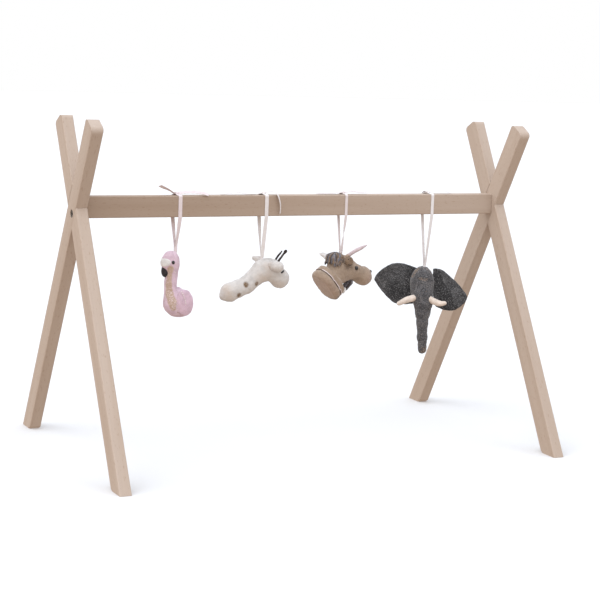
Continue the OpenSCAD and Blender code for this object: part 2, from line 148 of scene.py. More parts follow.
class Nodes:
    """A short way to write a material's nodes."""

    def __init__(self, name):
        self.material = bpy.data.materials.new(name)
        self.material.use_nodes = True
        self.tree = self.material.node_tree
        self.shader = self.tree.nodes["Principled BSDF"]

    def add(self, kind, **values):
        node = self.tree.nodes.new(kind)
        for key, value in values.items():
            if hasattr(node, key):
                setattr(node, key, value)
            else:
                node.inputs[key.replace("_", " ")].default_value = value
        return node

    def link(self, a, b):
        self.tree.links.new(a, b)

    def place(self, turn=(0, 0, 0), stretch=(1, 1, 1)):
        """Coordinates in the object's frame, turned and stretched."""
        source = self.add("ShaderNodeTexCoord")
        mapping = self.add("ShaderNodeMapping", vector_type="TEXTURE")
        mapping.inputs["Rotation"].default_value = turn
        scale = self.add("ShaderNodeMapping")
        scale.inputs["Scale"].default_value = stretch
        self.link(source.outputs["Object"], mapping.inputs["Vector"])
        self.link(mapping.outputs["Vector"], scale.inputs["Vector"])
        return scale.outputs["Vector"]

    def noise(self, at, scale, detail=3.0, rough=0.55, distortion=0.0):
        node = self.add("ShaderNodeTexNoise", Scale=scale, Detail=detail, Roughness=rough,
                        Distortion=distortion)
        self.link(at, node.inputs["Vector"])
        return node.outputs["Fac"]

    def ramp(self, value, stops):
        node = self.add("ShaderNodeValToRGB")
        while len(node.color_ramp.elements) < len(stops):
            node.color_ramp.elements.new(0.5)
        for element, (position, colour) in zip(node.color_ramp.elements, stops):
            element.position = position
            element.color = (*colour, 1) if hasattr(colour, "__len__") else (colour, colour, colour, 1)
        self.link(value, node.inputs["Fac"])
        return node.outputs["Color"]

    def math(self, operation, a, b, c=None):
        node = self.add("ShaderNodeMath", operation=operation)
        for socket, value in zip(node.inputs, (a, b, c)):
            if value is None:
                continue
            if isinstance(value, (int, float)):
                socket.default_value = value
            else:
                self.link(value, socket)
        return node.outputs["Value"]

    def mix(self, share, a, b, blend="MIX"):
        node = self.add("ShaderNodeMix", data_type="RGBA", blend_type=blend)
        for socket, value in ((node.inputs["Factor"], share), (node.inputs[6], a), (node.inputs[7], b)):
            if isinstance(value, (int, float)):
                socket.default_value = value
            elif isinstance(value, tuple):
                socket.default_value = (*value, 1)
            else:
                self.link(value, socket)
        return node.outputs[2]

    def attribute(self, name):
        return self.add("ShaderNodeAttribute", attribute_name=name).outputs["Fac"]

    def bump(self, height, strength, distance, after=None):
        node = self.add("ShaderNodeBump", Strength=strength, Distance=distance)
        self.link(height, node.inputs["Height"])
        if after is not None:
            self.link(after, node.inputs["Normal"])
        return node.outputs["Normal"]

    def finish(self, colour, rough, normal=None, **constants):
        if isinstance(colour, tuple):
            self.shader.inputs["Base Color"].default_value = (*colour, 1)
        else:
            self.link(colour, self.shader.inputs["Base Color"])
        if isinstance(rough, (int, float)):
            self.shader.inputs["Roughness"].default_value = rough
        else:
            self.link(rough, self.shader.inputs["Roughness"])
        if normal is not None:
            self.link(normal, self.shader.inputs["Normal"])
        for key, value in constants.items():
            self.shader.inputs[key.replace("_", " ")].default_value = value
        return self.material


def wood(name, turn, shift, tint=1.0, end_shade=0.0):
    """Sanded beech. The grain runs along the stick, which is Z after the turn, and painted shade can darken it towards
    one end.
    """
    n = Nodes(name)
    at = n.place(turn, (1, 1, 1))
    moved = n.add("ShaderNodeVectorMath", operation="ADD")
    n.link(at, moved.inputs[0])
    moved.inputs[1].default_value = shift

    def stretched(across, along):
        node = n.add("ShaderNodeMapping")
        node.inputs["Scale"].default_value = (across, across, along)
        n.link(moved.outputs["Vector"], node.inputs["Vector"])
        return node.outputs["Vector"]

    bands = n.noise(stretched(55, 2.2), 1.0, 4.0, 0.55, 0.5)
    clouds = n.noise(stretched(9, 3.5), 1.0, 2.0, 0.5)
    fibres = n.noise(stretched(900, 26), 1.0, 3.0, 0.6)
    flecks = n.noise(stretched(620, 130), 1.0, 1.0, 0.4)
    light = tuple(c * tint for c in (0.525, 0.432, 0.362))
    deep = tuple(c * tint for c in (0.455, 0.358, 0.286))
    base = n.ramp(bands, [(0.34, deep), (0.66, light)])
    base = n.mix(0.35, base, n.ramp(clouds, [(0.3, deep), (0.7, light)]))
    base = n.mix(n.math("MULTIPLY", fibres, 0.16), base, (0.36, 0.235, 0.15))
    fleck = n.ramp(flecks, [(0.655, 0.0), (0.70, 1.0)])
    base = n.mix(n.math("MULTIPLY", fleck, 0.34), base, (0.29, 0.175, 0.105))
    # Painted shade: darker towards one end of the stick, standing in for light that falls off along it.
    if end_shade:
        height = n.add("ShaderNodeSeparateXYZ")
        n.link(at, height.inputs["Vector"])
        share = n.math("MULTIPLY_ADD", height.outputs["Z"], -end_shade, 0.5)
        base = n.mix(n.ramp(share, [(0.0, 0.0), (1.0, 1.0)]), base, (0.77, 0.71, 0.65), "MULTIPLY")
    rough = n.math("MULTIPLY_ADD", fibres, 0.22, 0.46)
    soft = n.add("ShaderNodeBevel", samples=4, Radius=0.0009)
    height = n.math("MULTIPLY_ADD", fleck, -0.5, fibres)
    normal = n.bump(height, 0.16, 0.0002, soft.outputs["Normal"])
    return n.finish(base, rough, normal, Specular_IOR_Level=0.38)


def steel(name, colour, rough):
    n = Nodes(name)
    at = n.place()
    scratches = n.noise(at, 2600, 3.0, 0.6)
    patina = n.noise(at, 420, 2.0, 0.5)
    shade = n.mix(n.math("MULTIPLY", patina, 0.5), colour, tuple(c * 0.45 for c in colour))
    spread = n.math("MULTIPLY_ADD", scratches, 0.22, rough)
    return n.finish(shade, spread, n.bump(scratches, 0.12, 0.0001), Metallic=1.0)


def felt(name, base, tints=(), speckle=0.25, light=None, dark=None, lump=0.5):
    """Needled wool. Each tint is the name of a mesh attribute, its colour, how ragged its edge is, how soft its
    edge is and how strong it is at most."""
    n = Nodes(name)
    at = n.place()
    light = light or tuple(min(1, c * 1.16 + 0.02) for c in base)
    dark = dark or tuple(c * 0.72 for c in base)
    clouds = n.noise(at, 95, 3.0, 0.55, 0.6)
    tufts = n.noise(at, 520, 4.0, 0.62, 1.4)
    specks = n.noise(at, 620, 1.0, 0.5, 0.6)
    fibres = n.noise(at, 2100, 3.0, 0.7, 2.6)
    colour = n.ramp(clouds, [(0.32, dark), (0.5, base), (0.68, light)])
    colour = n.mix(0.55, base, colour)
    for attribute, tint, ragged, soft, strongest in tints:
        edge = n.math("MULTIPLY_ADD", n.math("SUBTRACT", specks, 0.5), ragged, n.attribute(attribute))
        colour = n.mix(n.ramp(edge, [(0.5 - soft, 0.0), (0.5 + soft, strongest)]), colour, tint)
    grains = n.ramp(specks, [(0.43, 0.0), (0.55, 1.0)])
    colour = n.mix(n.math("MULTIPLY", n.math("SUBTRACT", 1.0, grains), speckle), colour, dark)
    pale = n.ramp(n.noise(at, 760, 1.0, 0.5, 0.6), [(0.57, 0.0), (0.64, 1.0)])
    colour = n.mix(n.math("MULTIPLY", pale, speckle), colour, light)
    hairs = n.ramp(fibres, [(0.56, 0.0), (0.68, 1.0)])
    colour = n.mix(n.math("MULTIPLY", hairs, speckle * 0.9), colour, light)
    normal = n.bump(tufts, 0.55 * lump, 0.0012)
    normal = n.bump(fibres, 0.5, 0.0005, normal)
    return n.finish(colour, 0.93, normal, Sheen_Weight=0.35, Sheen_Roughness=0.45, Specular_IOR_Level=0.2)


def ribbon_material(name, colour, shadow):
    """A narrow woven ribbon: fine ribs across it, on the mesh's own lengthwise coordinates in metres."""
    n = Nodes(name)
    source = n.add("ShaderNodeTexCoord")
    ribs = n.add("ShaderNodeTexWave", wave_type="BANDS", bands_direction="Y", Scale=2100 / 6.283,
                 Distortion=0.4, Detail=1.0)
    warp = n.add("ShaderNodeTexWave", wave_type="BANDS", bands_direction="X", Scale=2600 / 6.283)
    n.link(source.outputs["UV"], ribs.inputs["Vector"])
    n.link(source.outputs["UV"], warp.inputs["Vector"])
    weave = n.math("MULTIPLY_ADD", warp.outputs["Fac"], 0.35, ribs.outputs["Fac"])
    clouds = n.noise(n.place(), 160, 2.0)
    tone = n.math("MULTIPLY_ADD", clouds, 0.4, n.math("MULTIPLY", weave, 0.3))
    shade = n.ramp(tone, [(0.15, shadow), (0.62, colour)])
    normal = n.bump(weave, 0.5, 0.00018)
    return n.finish(shade, 0.62, normal, Sheen_Weight=0.25, Sheen_Roughness=0.4, Specular_IOR_Level=0.3)


def bead(name, colour):
    n = Nodes(name)
    spots = n.noise(n.place(), 900, 2.0)
    return n.finish(n.mix(spots, colour, tuple(c * 2.2 for c in colour)), 0.22,
                    n.bump(spots, 0.05, 0.0001), Coat_Weight=0.4, Coat_Roughness=0.12)


def thread(name, colour):
    n = Nodes(name)
    plies = n.noise(n.place(), 2800, 2.0, 0.6)
    shade = n.mix(n.math("MULTIPLY", plies, 0.5), colour, tuple(c * 0.6 for c in colour))
    return n.finish(shade, 0.8, n.bump(plies, 0.4, 0.0002), Sheen_Weight=0.2)


# ------------------------------------------------------------------ meshes


def new_object(name, vertices, faces, material, uv=None, smooth=True):
    mesh = bpy.data.meshes.new(name)
    mesh.from_pydata([tuple(v) for v in vertices], [], [tuple(f) for f in faces])
    mesh.validate()
    if uv is not None:
        layer = mesh.uv_layers.new(name="UVMap")
        indices = np.zeros(len(mesh.loops), np.int32)
        mesh.loops.foreach_get("vertex_index", indices)
        layer.data.foreach_set("uv", np.asarray(uv, np.float32)[indices].ravel())
    mesh.polygons.foreach_set("use_smooth", [smooth] * len(mesh.polygons))
    mesh.materials.append(material)
    made = bpy.data.objects.new(name, mesh)
    bpy.context.scene.collection.objects.link(made)
    return made


def curve(points, steps):
    """Points of a smooth curve through a route."""
    p = np.array(points, float)
    out = []
    for i in range(len(p) - 1):
        a = p[max(i - 1, 0)]
        b = p[i]
        c = p[i + 1]
        d = p[min(i + 2, len(p) - 1)]
        for s in range(steps):
            t = s / steps
            out.append(0.5 * (2 * b + (c - a) * t + (2 * a - 5 * b + 4 * c - d) * t * t
                              + (3 * b - a - 3 * c + d) * t ** 3))
    out.append(p[-1])
    return np.array(out)


def evenly(line, count):
    """The line again, as count points the same way apart."""
    at = np.concatenate([[0], np.cumsum(np.linalg.norm(np.diff(line, axis=0), axis=1))])
    want = np.linspace(0, at[-1], count)
    return np.stack([np.interp(want, at, line[:, k]) for k in range(3)], axis=1)


def length_of(line):
    return float(np.linalg.norm(np.diff(line, axis=0), axis=1).sum())


def sweep(line, widths, outline, closed=False):
    """Rings of an outline along a line. outline is points (across, up); widths gives the across way at each
    point of the line. Returns the vertices, the faces and a coordinate pair for each vertex."""
    n = len(line)
    ring = len(outline)
    vertices = []
    pairs = []
    along = np.concatenate([[0], np.cumsum(np.linalg.norm(np.diff(line, axis=0), axis=1))])
    for i in range(n):
        if closed:
            t = line[(i + 1) % n] - line[i - 1]
        else:
            t = line[min(i + 1, n - 1)] - line[max(i - 1, 0)]
        t = t / np.linalg.norm(t)
        up = np.cross(t, widths[i])
        up = up / np.linalg.norm(up)
        across = np.cross(up, t)
        for k in range(ring):
            vertices.append(line[i] + across * outline[k][0] + up * outline[k][1])
            pairs.append((outline[k][0], along[i]))
    faces = []
    for i in range(n if closed else n - 1):
        j = (i + 1) % n
        for k in range(ring):
            m = (k + 1) % ring
            faces.append((i * ring + k, i * ring + m, j * ring + m, j * ring + k))
    if not closed:
        faces.append(tuple(reversed(range(ring))))
        faces.append(tuple(range((n - 1) * ring, n * ring)))
    return vertices, faces, pairs


def flat_outline(width, thick):
    """A ribbon's section: thin, with slightly thicker woven edges."""
    a = width / 2
    h = thick / 2
    top = [(-a, 0.35 * h), (-a * 0.965, 1.15 * h), (-a * 0.88, 0.9 * h), (-a * 0.4, h), (a * 0.4, h),
           (a * 0.88, 0.9 * h), (a * 0.965, 1.15 * h), (a, 0.35 * h)]
    return top + [(x, -y) for x, y in reversed(top)]


def round_outline(radius, sides=8):
    turns = [2 * math.pi * k / sides for k in range(sides)]
    return [(radius * math.cos(t), radius * math.sin(t)) for t in turns]


def smooth_step(x):
    x = np.clip(x, 0, 1)
    return x * x * (3 - 2 * x)


# ------------------------------------------------------------------ ribbons

RIBBON_COLOURS = {
    "flamingo": ((0.83, 0.75, 0.77), (0.66, 0.56, 0.56)),
    "giraffe": ((0.85, 0.82, 0.82), (0.71, 0.66, 0.64)),
    "gnu": ((0.83, 0.77, 0.78), (0.66, 0.58, 0.57)),
    "elephant": ((0.86, 0.84, 0.85), (0.74, 0.71, 0.71)),
}
ribbon_materials = {toy: ribbon_material(f"{toy}_ribbon", *c) for toy, c in RIBBON_COLOURS.items()}


def strand(toy, side):
    """One run of the ribbon: from the knot over the bar's edge, down its face and on down to the toy.
    side is -1 at the front and 1 at the back."""
    facts = TOYS[toy]
    hang = hang_point(toy)
    top_x = facts["x"] - side * facts["skew"] / 2
    face = BAR_FRONT + RIBBON_LIFT
    over = [
        (facts["x"], side * 1.2 * MM, BAR_TOP + 2.9 * MM),
        (facts["x"] - side * 0.5 * MM, side * 4.2 * MM, BAR_TOP + 1.5 * MM),
        (top_x, side * 7.0 * MM, BAR_TOP + RIBBON_LIFT),
        (top_x, side * 8.4 * MM, BAR_TOP + 0.3 * MM),
        (top_x, side * face, BAR_TOP - 1.3 * MM),
        (top_x, side * face, BAR_TOP - 6 * MM),
        (top_x, side * face, BAR_BOTTOM + 5 * MM),
        (top_x, side * face, PIVOT_Z),
    ]
    end = np.array((facts["x"] - side * 0.9 * MM, side * 0.75 * MM, hang.z + 4.9 * MM))
    start = np.array(over[-1])
    below = [tuple(start + (end - start) * t) for t in (0.08, 0.3, 0.6, 0.86, 1)]
    last = (facts["x"] - side * 0.5 * MM, side * 0.5 * MM, hang.z + 3.2 * MM)
    line = evenly(curve(over + below + [last], 6), 110)
    twist = math.radians(facts["twist"][0 if side < 0 else 1])
    share = smooth_step((PIVOT_Z - 2 * MM - line[:, 2]) / (PIVOT_Z - hang.z - 8 * MM))
    widths = [(math.cos(twist * s), math.sin(twist * s), 0) for s in share]
    name = f"{toy}_ribbon_{'front' if side < 0 else 'back'}"
    parts = sweep(line, np.array(widths), flat_outline(facts["width"], RIBBON_THICK))
    made = new_object(name, parts[0], parts[1], ribbon_materials[toy], parts[2])
    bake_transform(made)
    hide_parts(f"{toy}_ribbon_wrap", f"{toy}_ribbon_strands")


def tail(toy, letter):
    """A loose end of the ribbon, from the knot."""
    route, way = TAILS[toy][letter]
    origin = np.array((TOYS[toy]["x"], 0, BAR_TOP))
    line = evenly(curve(np.array(route) * MM + origin, 8), 60)
    widths = np.tile(np.array(way, float) / np.linalg.norm(way), (len(line), 1))
    parts = sweep(line, widths, flat_outline(RIBBON_WIDTH, RIBBON_THICK))
    made = new_object(f"{toy}_ribbon_tail_{letter}", parts[0], parts[1], ribbon_materials[toy], parts[2])
    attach(made, f"{toy}_loop")
    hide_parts(f"{toy}_ribbon_tails")


def knot(toy):
    """The knot on top of the bar: ribbon that runs over and under itself."""
    turns = np.linspace(0, 2 * math.pi, 97)[:-1]
    line = np.stack([np.sin(turns) + 2 * np.sin(2 * turns), np.cos(turns) - 2 * np.cos(2 * turns),
                     -np.sin(3 * turns)], axis=1)
    line = line * np.array((1.05, 0.98, 1.0)) * MM
    line = line + np.array((TOYS[toy]["x"], 0, BAR_TOP + 2.9 * MM))
    widths = np.tile((0.15, 0.1, 1.0), (len(line), 1))
    outline = [(0.62 * x, 0.42 * y) for x, y in round_outline(2.2 * MM, 10)]
    parts = sweep(line, widths, outline, closed=True)
    made = new_object(f"{toy}_ribbon_knot_folds", parts[0], parts[1], ribbon_materials[toy], parts[2])
    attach(made, f"{toy}_loop")
    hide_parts(f"{toy}_ribbon_knot")


def stitched_end(toy):
    """The doubled end of the ribbon, sewn into the top of the toy."""
    low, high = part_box(f"{toy}_ribbon_end")
    depth = 2.4 * MM
    line = np.array([(TOYS[toy]["x"], 0, z) for z in np.linspace(low.z - depth, high.z, 24)])
    widths = np.tile((1.0, 0, 0), (len(line), 1))
    outline = [(x * 0.88, y * 3.1) for x, y in flat_outline(RIBBON_WIDTH, RIBBON_THICK)]
    parts = sweep(line, widths, outline)
    made = new_object(f"{toy}_ribbon_stitched_end", parts[0], parts[1], ribbon_materials[toy], parts[2])
    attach(made, f"{toy}_tie")
    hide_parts(f"{toy}_ribbon_end")


for toy_name in TOYS:
    strand(toy_name, -1)
    strand(toy_name, 1)
    tail(toy_name, "a")
    tail(toy_name, "b")
    knot(toy_name)
    stitched_end(toy_name)

# ------------------------------------------------------------------ soft solids from distance fields
#
# A field gives, for points in millimetres about the hanging point, the distance outside a shape.


def egg(centre, radii, tilt=0.0, turn=0.0, roll=0.0):
    """An egg shape, tilted about Y, then turned about Z, with a roll about X before both, in degrees."""
    way = (Matrix.Rotation(math.radians(turn), 3, "Z") @ Matrix.Rotation(math.radians(tilt), 3, "Y")
           @ Matrix.Rotation(math.radians(roll), 3, "X"))
    axes = np.array(way)
    middle = np.array(centre, float)
    size = np.array(radii, float)

    def field(p):
        q = (p - middle) @ axes
        near = np.linalg.norm(q / size, axis=1)
        steep = np.maximum(np.linalg.norm(q / size ** 2, axis=1), 1e-9)
        return near * (near - 1) / steep

    return field


def limb(*points, blend=2.0):
    """A round limb through points (x, y, z, radius)."""
    rows = np.array(points, float)

    def field(p):
        best = None
        for a, b in zip(rows[:-1], rows[1:]):
            d = b[:3] - a[:3]
            t = np.clip((p - a[:3]) @ d / (d @ d), 0, 1)
            far = np.linalg.norm(p - a[:3] - t[:, None] * d, axis=1) - (a[3] + t * (b[3] - a[3]))
            best = far if best is None else soft_min(best, far, blend)
        return best

    return field


def soft_min(a, b, k):
    h = np.clip(0.5 + 0.5 * (b - a) / k, 0, 1)
    return b * (1 - h) + a * h - k * h * (1 - h)


def join(k, *fields):
    """Fields melted together over about k millimetres."""
    def field(p):
        best = fields[0](p)
        for f in fields[1:]:
            best = soft_min(best, f(p), k)
        return best

    return field


def cut(k, solid, tool):
    """The solid without the tool, with edges k millimetres soft."""
    return lambda p: -soft_min(-solid(p), tool(p), k)


def both(k, a, b):
    """Only where both shapes are, with edges k millimetres soft."""
    return lambda p: -soft_min(-a(p), -b(p), k)


def grown(solid, by):
    return lambda p: solid(p) - by


def plate(outline, middle, half, edge):
    """A plate in the XZ plane with that outline. middle and half give its middle y and half thickness at x, z,
    and edge is the radius of its rim."""
    corners = np.array(outline, float)

    def field(p):
        q = p[:, [0, 2]]
        nearest = np.full(len(q), np.inf)
        inside = np.zeros(len(q), bool)
        for a, b in zip(corners, np.roll(corners, -1, axis=0)):
            d = b - a
            w = q - a
            t = np.clip(w @ d / (d @ d), 0, 1)
            nearest = np.minimum(nearest, np.linalg.norm(w - t[:, None] * d, axis=1))
            crosses = (a[1] <= q[:, 1]) != (b[1] <= q[:, 1])
            side = (d[0] * w[:, 1] - d[1] * w[:, 0]) * (1 if b[1] > a[1] else -1)
            inside ^= crosses & (side > 0)
        flat = np.where(inside, -nearest, nearest) + edge
        deep = np.abs(p[:, 1] - middle(q[:, 0], q[:, 1])) - half(q[:, 0], q[:, 1], -flat) + edge
        outer = np.hypot(np.maximum(flat, 0), np.maximum(deep, 0))
        return np.minimum(np.maximum(flat, deep), 0) + outer - edge

    return field


def skin(field, low, high, cell):
    """The surface where the field is nought, as evenly laid four-sided faces."""
    axes = [np.arange(low[i], high[i] + cell, cell) for i in range(3)]
    grid = np.stack(np.meshgrid(*axes, indexing="ij"), axis=-1)
    shape = grid.shape[:3]
    inside = field(grid.reshape(-1, 3)).reshape(shape) < 0
    corners = [inside[i:shape[0] - 1 + i, j:shape[1] - 1 + j, k:shape[2] - 1 + k]
               for i in (0, 1) for j in (0, 1) for k in (0, 1)]
    count = sum(c.astype(int) for c in corners)
    mixed = (count > 0) & (count < 8)
    index = np.full(mixed.shape, -1)
    index[mixed] = np.arange(mixed.sum())
    vertices = grid[:-1, :-1, :-1][mixed] + cell / 2
    faces = []
    for axis in range(3):
        others = [k for k in range(3) if k != axis]
        front = np.take(inside, range(1, shape[axis]), axis)
        back = np.take(inside, range(0, shape[axis] - 1), axis)
        at = np.argwhere(front != back)
        keep = np.ones(len(at), bool)
        for k in others:
            keep &= (at[:, k] > 0) & (at[:, k] < shape[k] - 1)
        at = at[keep]
        quad = []
        for da, db in ((-1, -1), (0, -1), (0, 0), (-1, 0)):
            where = at.copy()
            where[:, others[0]] += da
            where[:, others[1]] += db
            quad.append(index[where[:, 0], where[:, 1], where[:, 2]])
        quad = np.stack(quad, axis=1)
        outward = back[at[:, 0], at[:, 1], at[:, 2]]
        flip = outward != (axis != 1)
        quad[flip] = quad[flip][:, ::-1]
        faces.append(quad)
    return vertices, np.concatenate(faces)


def slopes(field, p, step=0.05):
    out = np.stack([field(p + step * np.eye(3)[k]) - field(p - step * np.eye(3)[k]) for k in range(3)], axis=1)
    return out / np.maximum(np.linalg.norm(out, axis=1, keepdims=True), 1e-9)


def relaxed(field, vertices, faces, rounds=6):
    """Moves the points onto the surface and evens out their spacing."""
    start = np.concatenate([faces.ravel(), np.roll(faces, 1, axis=1).ravel()])
    stop = np.concatenate([np.roll(faces, 1, axis=1).ravel(), faces.ravel()])
    for _ in range(rounds):
        total = np.zeros_like(vertices)
        for k in range(3):
            total[:, k] = np.bincount(start, vertices[stop, k], len(vertices))
        number = np.maximum(np.bincount(start, minlength=len(vertices)), 1)
        vertices = 0.5 * vertices + 0.5 * total / number[:, None]
        for _ in range(2):
            vertices = vertices - slopes(field, vertices) * field(vertices)[:, None]
    return vertices


def lumps(vertices, normals, size, depth, seed):
    """Small uneven lumps, as needled wool has."""
    shift = Vector((seed * 7.3, seed * 3.1, seed * 5.7))
    out = np.array([noise.fractal(Vector(v) / size + shift, 1.0, 2.0, 4) for v in vertices])
    return vertices + normals * (out * depth)[:, None]


def placed(toy, vertices):
    turn = Matrix.Rotation(math.radians(TOYS[toy]["turn"]), 3, "Z")
    return vertices @ np.array(turn).T * MM + np.array(hang_point(toy))


def soft_piece(toy, part, field, low, high, material, replaces=(), cell=1.2, lump=(7, 0.35), masks=None,
               seed=1, rounds=6):
    """A felt piece: the skin of a field, with lumps and with tint masks as mesh attributes."""
    vertices, faces = skin(field, low, high, cell)
    vertices = relaxed(field, vertices, faces, rounds)
    normals = slopes(field, vertices)
    shown = lumps(vertices, normals, lump[0], lump[1], seed)
    made = new_object(f"{toy}_{part}", placed(toy, shown), faces, material)
    for name, mask in (masks or {}).items():
        values = np.clip(mask(vertices), 0, 1).astype(np.float32)
        made.data.attributes.new(name, "FLOAT", "POINT").data.foreach_set("value", values)
    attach(made, toy)
    if replaces:
        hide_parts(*replaces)
    return made


def blot(centre, radii, soft=1.0):
    """A mask: 1 in an egg-shaped region, fading to 0 over about soft millimetres either side of its edge."""
    region = egg(centre, radii)
    return lambda p: 0.5 - region(p) / (2 * soft)


def band(points, soft=1.0):
    """A mask along a line of points (x, y, z, half width)."""
    region = limb(*points)
    return lambda p: 0.5 - region(p) / (2 * soft)


def most(*masks):
    return lambda p: np.max([np.clip(m(p), 0, 1) for m in masks], axis=0)


def mirrored(mask):
    """The mask on both sides of the toy's middle plane."""
    flip = np.array((1, -1, 1))
    return lambda p: np.maximum(np.clip(mask(p), 0, 1), np.clip(mask(p * flip), 0, 1))


def onto(field, points, lift=0.0):
    """Points moved onto a field's surface."""
    p = np.array(points, float)
    for _ in range(8):
        p = p - slopes(field, p) * (field(p) - lift)[:, None]
    return p


def threads(toy, part, field, route, stitch, gap, radius, material, lift=0.1, steps=24):
    """A row of hand stitches along a route on a field's surface. A gap of 0 makes one unbroken thread."""
    line = onto(field, evenly(curve(route, 8), steps * 6), lift)
    total = length_of(line)
    line = evenly(line, max(int(total / 0.25), 12))
    at = np.linspace(0, total, len(line))
    number = 1 if gap == 0 else max(1, int(total / (stitch + gap)))
    vertices = []
    faces = []
    for i in range(number):
        low = 0 if gap == 0 else i * total / number
        high = total if gap == 0 else low + stitch
        piece = line[(at >= low) & (at <= high)]
        if len(piece) < 4:
            continue
        ways = slopes(field, piece)
        sink = np.abs(np.linspace(-1, 1, len(piece))) ** 4 * (0 if gap == 0 else 1.1 * radius)
        piece = piece - ways * sink[:, None]
        v, f, _ = sweep(piece, ways, round_outline(radius, 8))
        faces += [tuple(len(vertices) + k for k in face) for face in f]
        vertices += v
    made = new_object(f"{toy}_{part}", placed(toy, np.array(vertices)), faces, material)
    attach(made, toy)
    return made


def tube(toy, part, rows, material, replaces=(), steps=10, masks=None, seed=1, lump=(4, 0.3)):
    """A smooth tapering limb through rows (x, y, z, radius), with a rounded tip and small lumps."""
    vertices, faces, middle = tube_mesh(curve(rows, steps))
    vertices = np.array(vertices)
    ways = vertices - np.repeat(middle, len(vertices) // len(middle), axis=0)
    ways = ways / np.maximum(np.linalg.norm(ways, axis=1, keepdims=True), 1e-6)
    made = new_object(f"{toy}_{part}", placed(toy, lumps(vertices, ways, lump[0], lump[1], seed)), faces, material)
    for name, mask in (masks or {}).items():
        values = np.clip(mask(vertices), 0, 1).astype(np.float32)
        made.data.attributes.new(name, "FLOAT", "POINT").data.foreach_set("value", values)
    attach(made, toy)
    if replaces:
        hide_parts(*replaces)
    return made


def tube_mesh(line, squash=1.0, roll=0.0, sides=14):
    """Rings along a line of (x, y, z, radius), closed with round caps."""
    way = line[-1, :3] - line[0, :3]
    helper = np.array((0, 0, 1.0)) if abs(way[2]) < 0.8 * np.linalg.norm(way) else np.array((1.0, 0, 0))
    rings = []
    first = line[0, :3] - line[1, :3]
    first = first / np.linalg.norm(first)
    last = line[-1, :3] - line[-2, :3]
    last = last / np.linalg.norm(last)
    for t in (1.0, 0.9, 0.6, 0.3):
        rings.append((line[0, :3] + first * line[0, 3] * t, line[0, 3] * math.sqrt(max(1 - t * t, 0.003))))
    rings += [(row[:3], row[3]) for row in line]
    for t in (0.3, 0.6, 0.9, 1.0):
        rings.append((line[-1, :3] + last * line[-1, 3] * t, line[-1, 3] * math.sqrt(max(1 - t * t, 0.003))))
    middle = np.array([c for c, _ in rings])
    vertices = []
    for i, (centre, radius) in enumerate(rings):
        t = middle[min(i + 1, len(rings) - 1)] - middle[max(i - 1, 0)]
        t = t / max(np.linalg.norm(t), 1e-9)
        across = np.cross(helper, t)
        across = across / np.linalg.norm(across)
        up = np.cross(t, across)
        for k in range(sides):
            turn = 2 * math.pi * k / sides
            a = math.cos(turn) * radius
            b = math.sin(turn) * radius * squash
            c = math.cos(math.radians(roll))
            s = math.sin(math.radians(roll))
            vertices.append(centre + across * (a * c - b * s) + up * (a * s + b * c))
    faces = []
    for i in range(len(rings) - 1):
        for k in range(sides):
            m = (k + 1) % sides
            faces.append((i * sides + k, i * sides + m, (i + 1) * sides + m, (i + 1) * sides + k))
    faces.append(tuple(reversed(range(sides))))
    faces.append(tuple(range((len(rings) - 1) * sides, len(rings) * sides)))
    return vertices, faces, middle


def tubes(toy, part, limbs, material, replaces=(), steps=6, sides=10, squash=1.0):
    """Several tapering limbs, each a list of rows (x, y, z, radius), as one piece."""
    vertices = []
    faces = []
    for rows in limbs:
        v, f, _ = tube_mesh(curve(rows, steps), squash, 0, sides)
        faces += [tuple(len(vertices) + k for k in face) for face in f]
        vertices += v
    made = new_object(f"{toy}_{part}", placed(toy, np.array(vertices)), faces, material)
    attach(made, toy)
    if replaces:
        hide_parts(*replaces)
    return made


def hugging(field, rows, lift=0.0):
    """Rows (x, y, z, radius) moved so that their middles lie on a field's surface."""
    rows = np.array(rows, float)
    return np.column_stack([onto(field, rows[:, :3], lift), rows[:, 3]])


def cushion(middle, way, radius, thick, edge, crown):
    """A pad on the far side of the seam: its rim has the radius edge and its back swells by crown."""
    centre = np.array(middle, float)
    axis = np.array(way, float) / np.linalg.norm(way)

    def field(p):
        deep, out = out_of_seam(p, centre, axis)
        swell = crown * np.clip(1 - (out / radius) ** 2, 0, 1) * np.clip(deep / thick, 0, 1)
        half = thick / 2
        across = out - (radius - edge)
        along = np.abs(deep - half) - (half - edge) - swell
        outer = np.hypot(np.maximum(across, 0), np.maximum(along, 0))
        return np.minimum(np.maximum(across, along), 0) + outer - edge

    return field


def painted(name, material):
    """Puts a material on a CAD part that keeps its own shape."""
    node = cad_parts[name]
    node.data.materials.clear()
    node.data.materials.append(material)
    return node


# ------------------------------------------------------------------ beech frame

LEAN = math.radians(29.3)
EASED_EDGE = 0.0015
STICKS = {
    "left_outer_leg": ((LEAN, 0, 0), (0.11, 0.37, 1.71), 1.0),
    "left_inner_leg": ((-LEAN, 0, 0), (0.62, 0.15, 0.42), 1.02),
    "right_outer_leg": ((-LEAN, 0, 0), (0.33, 0.81, 2.53), 0.98),
    "right_inner_leg": ((LEAN, 0, 0), (0.91, 0.54, 3.12), 1.0),
    "crossbar": ((0, math.pi / 2, 0), (0.27, 0.68, 4.36), 0.99),
}
# The crossbar is painted darker towards one end: painted shade for light that falls off along the bar.
BAR_END_SHADE = 1.5


def eased(node):
    """Sands the sharp corners of a stick."""
    bevel = node.modifiers.new("eased_edges", "BEVEL")
    bevel.width = EASED_EDGE
    bevel.segments = 3
    bevel.limit_method = "ANGLE"
    bevel.angle_limit = math.radians(40)
    bevel.harden_normals = False


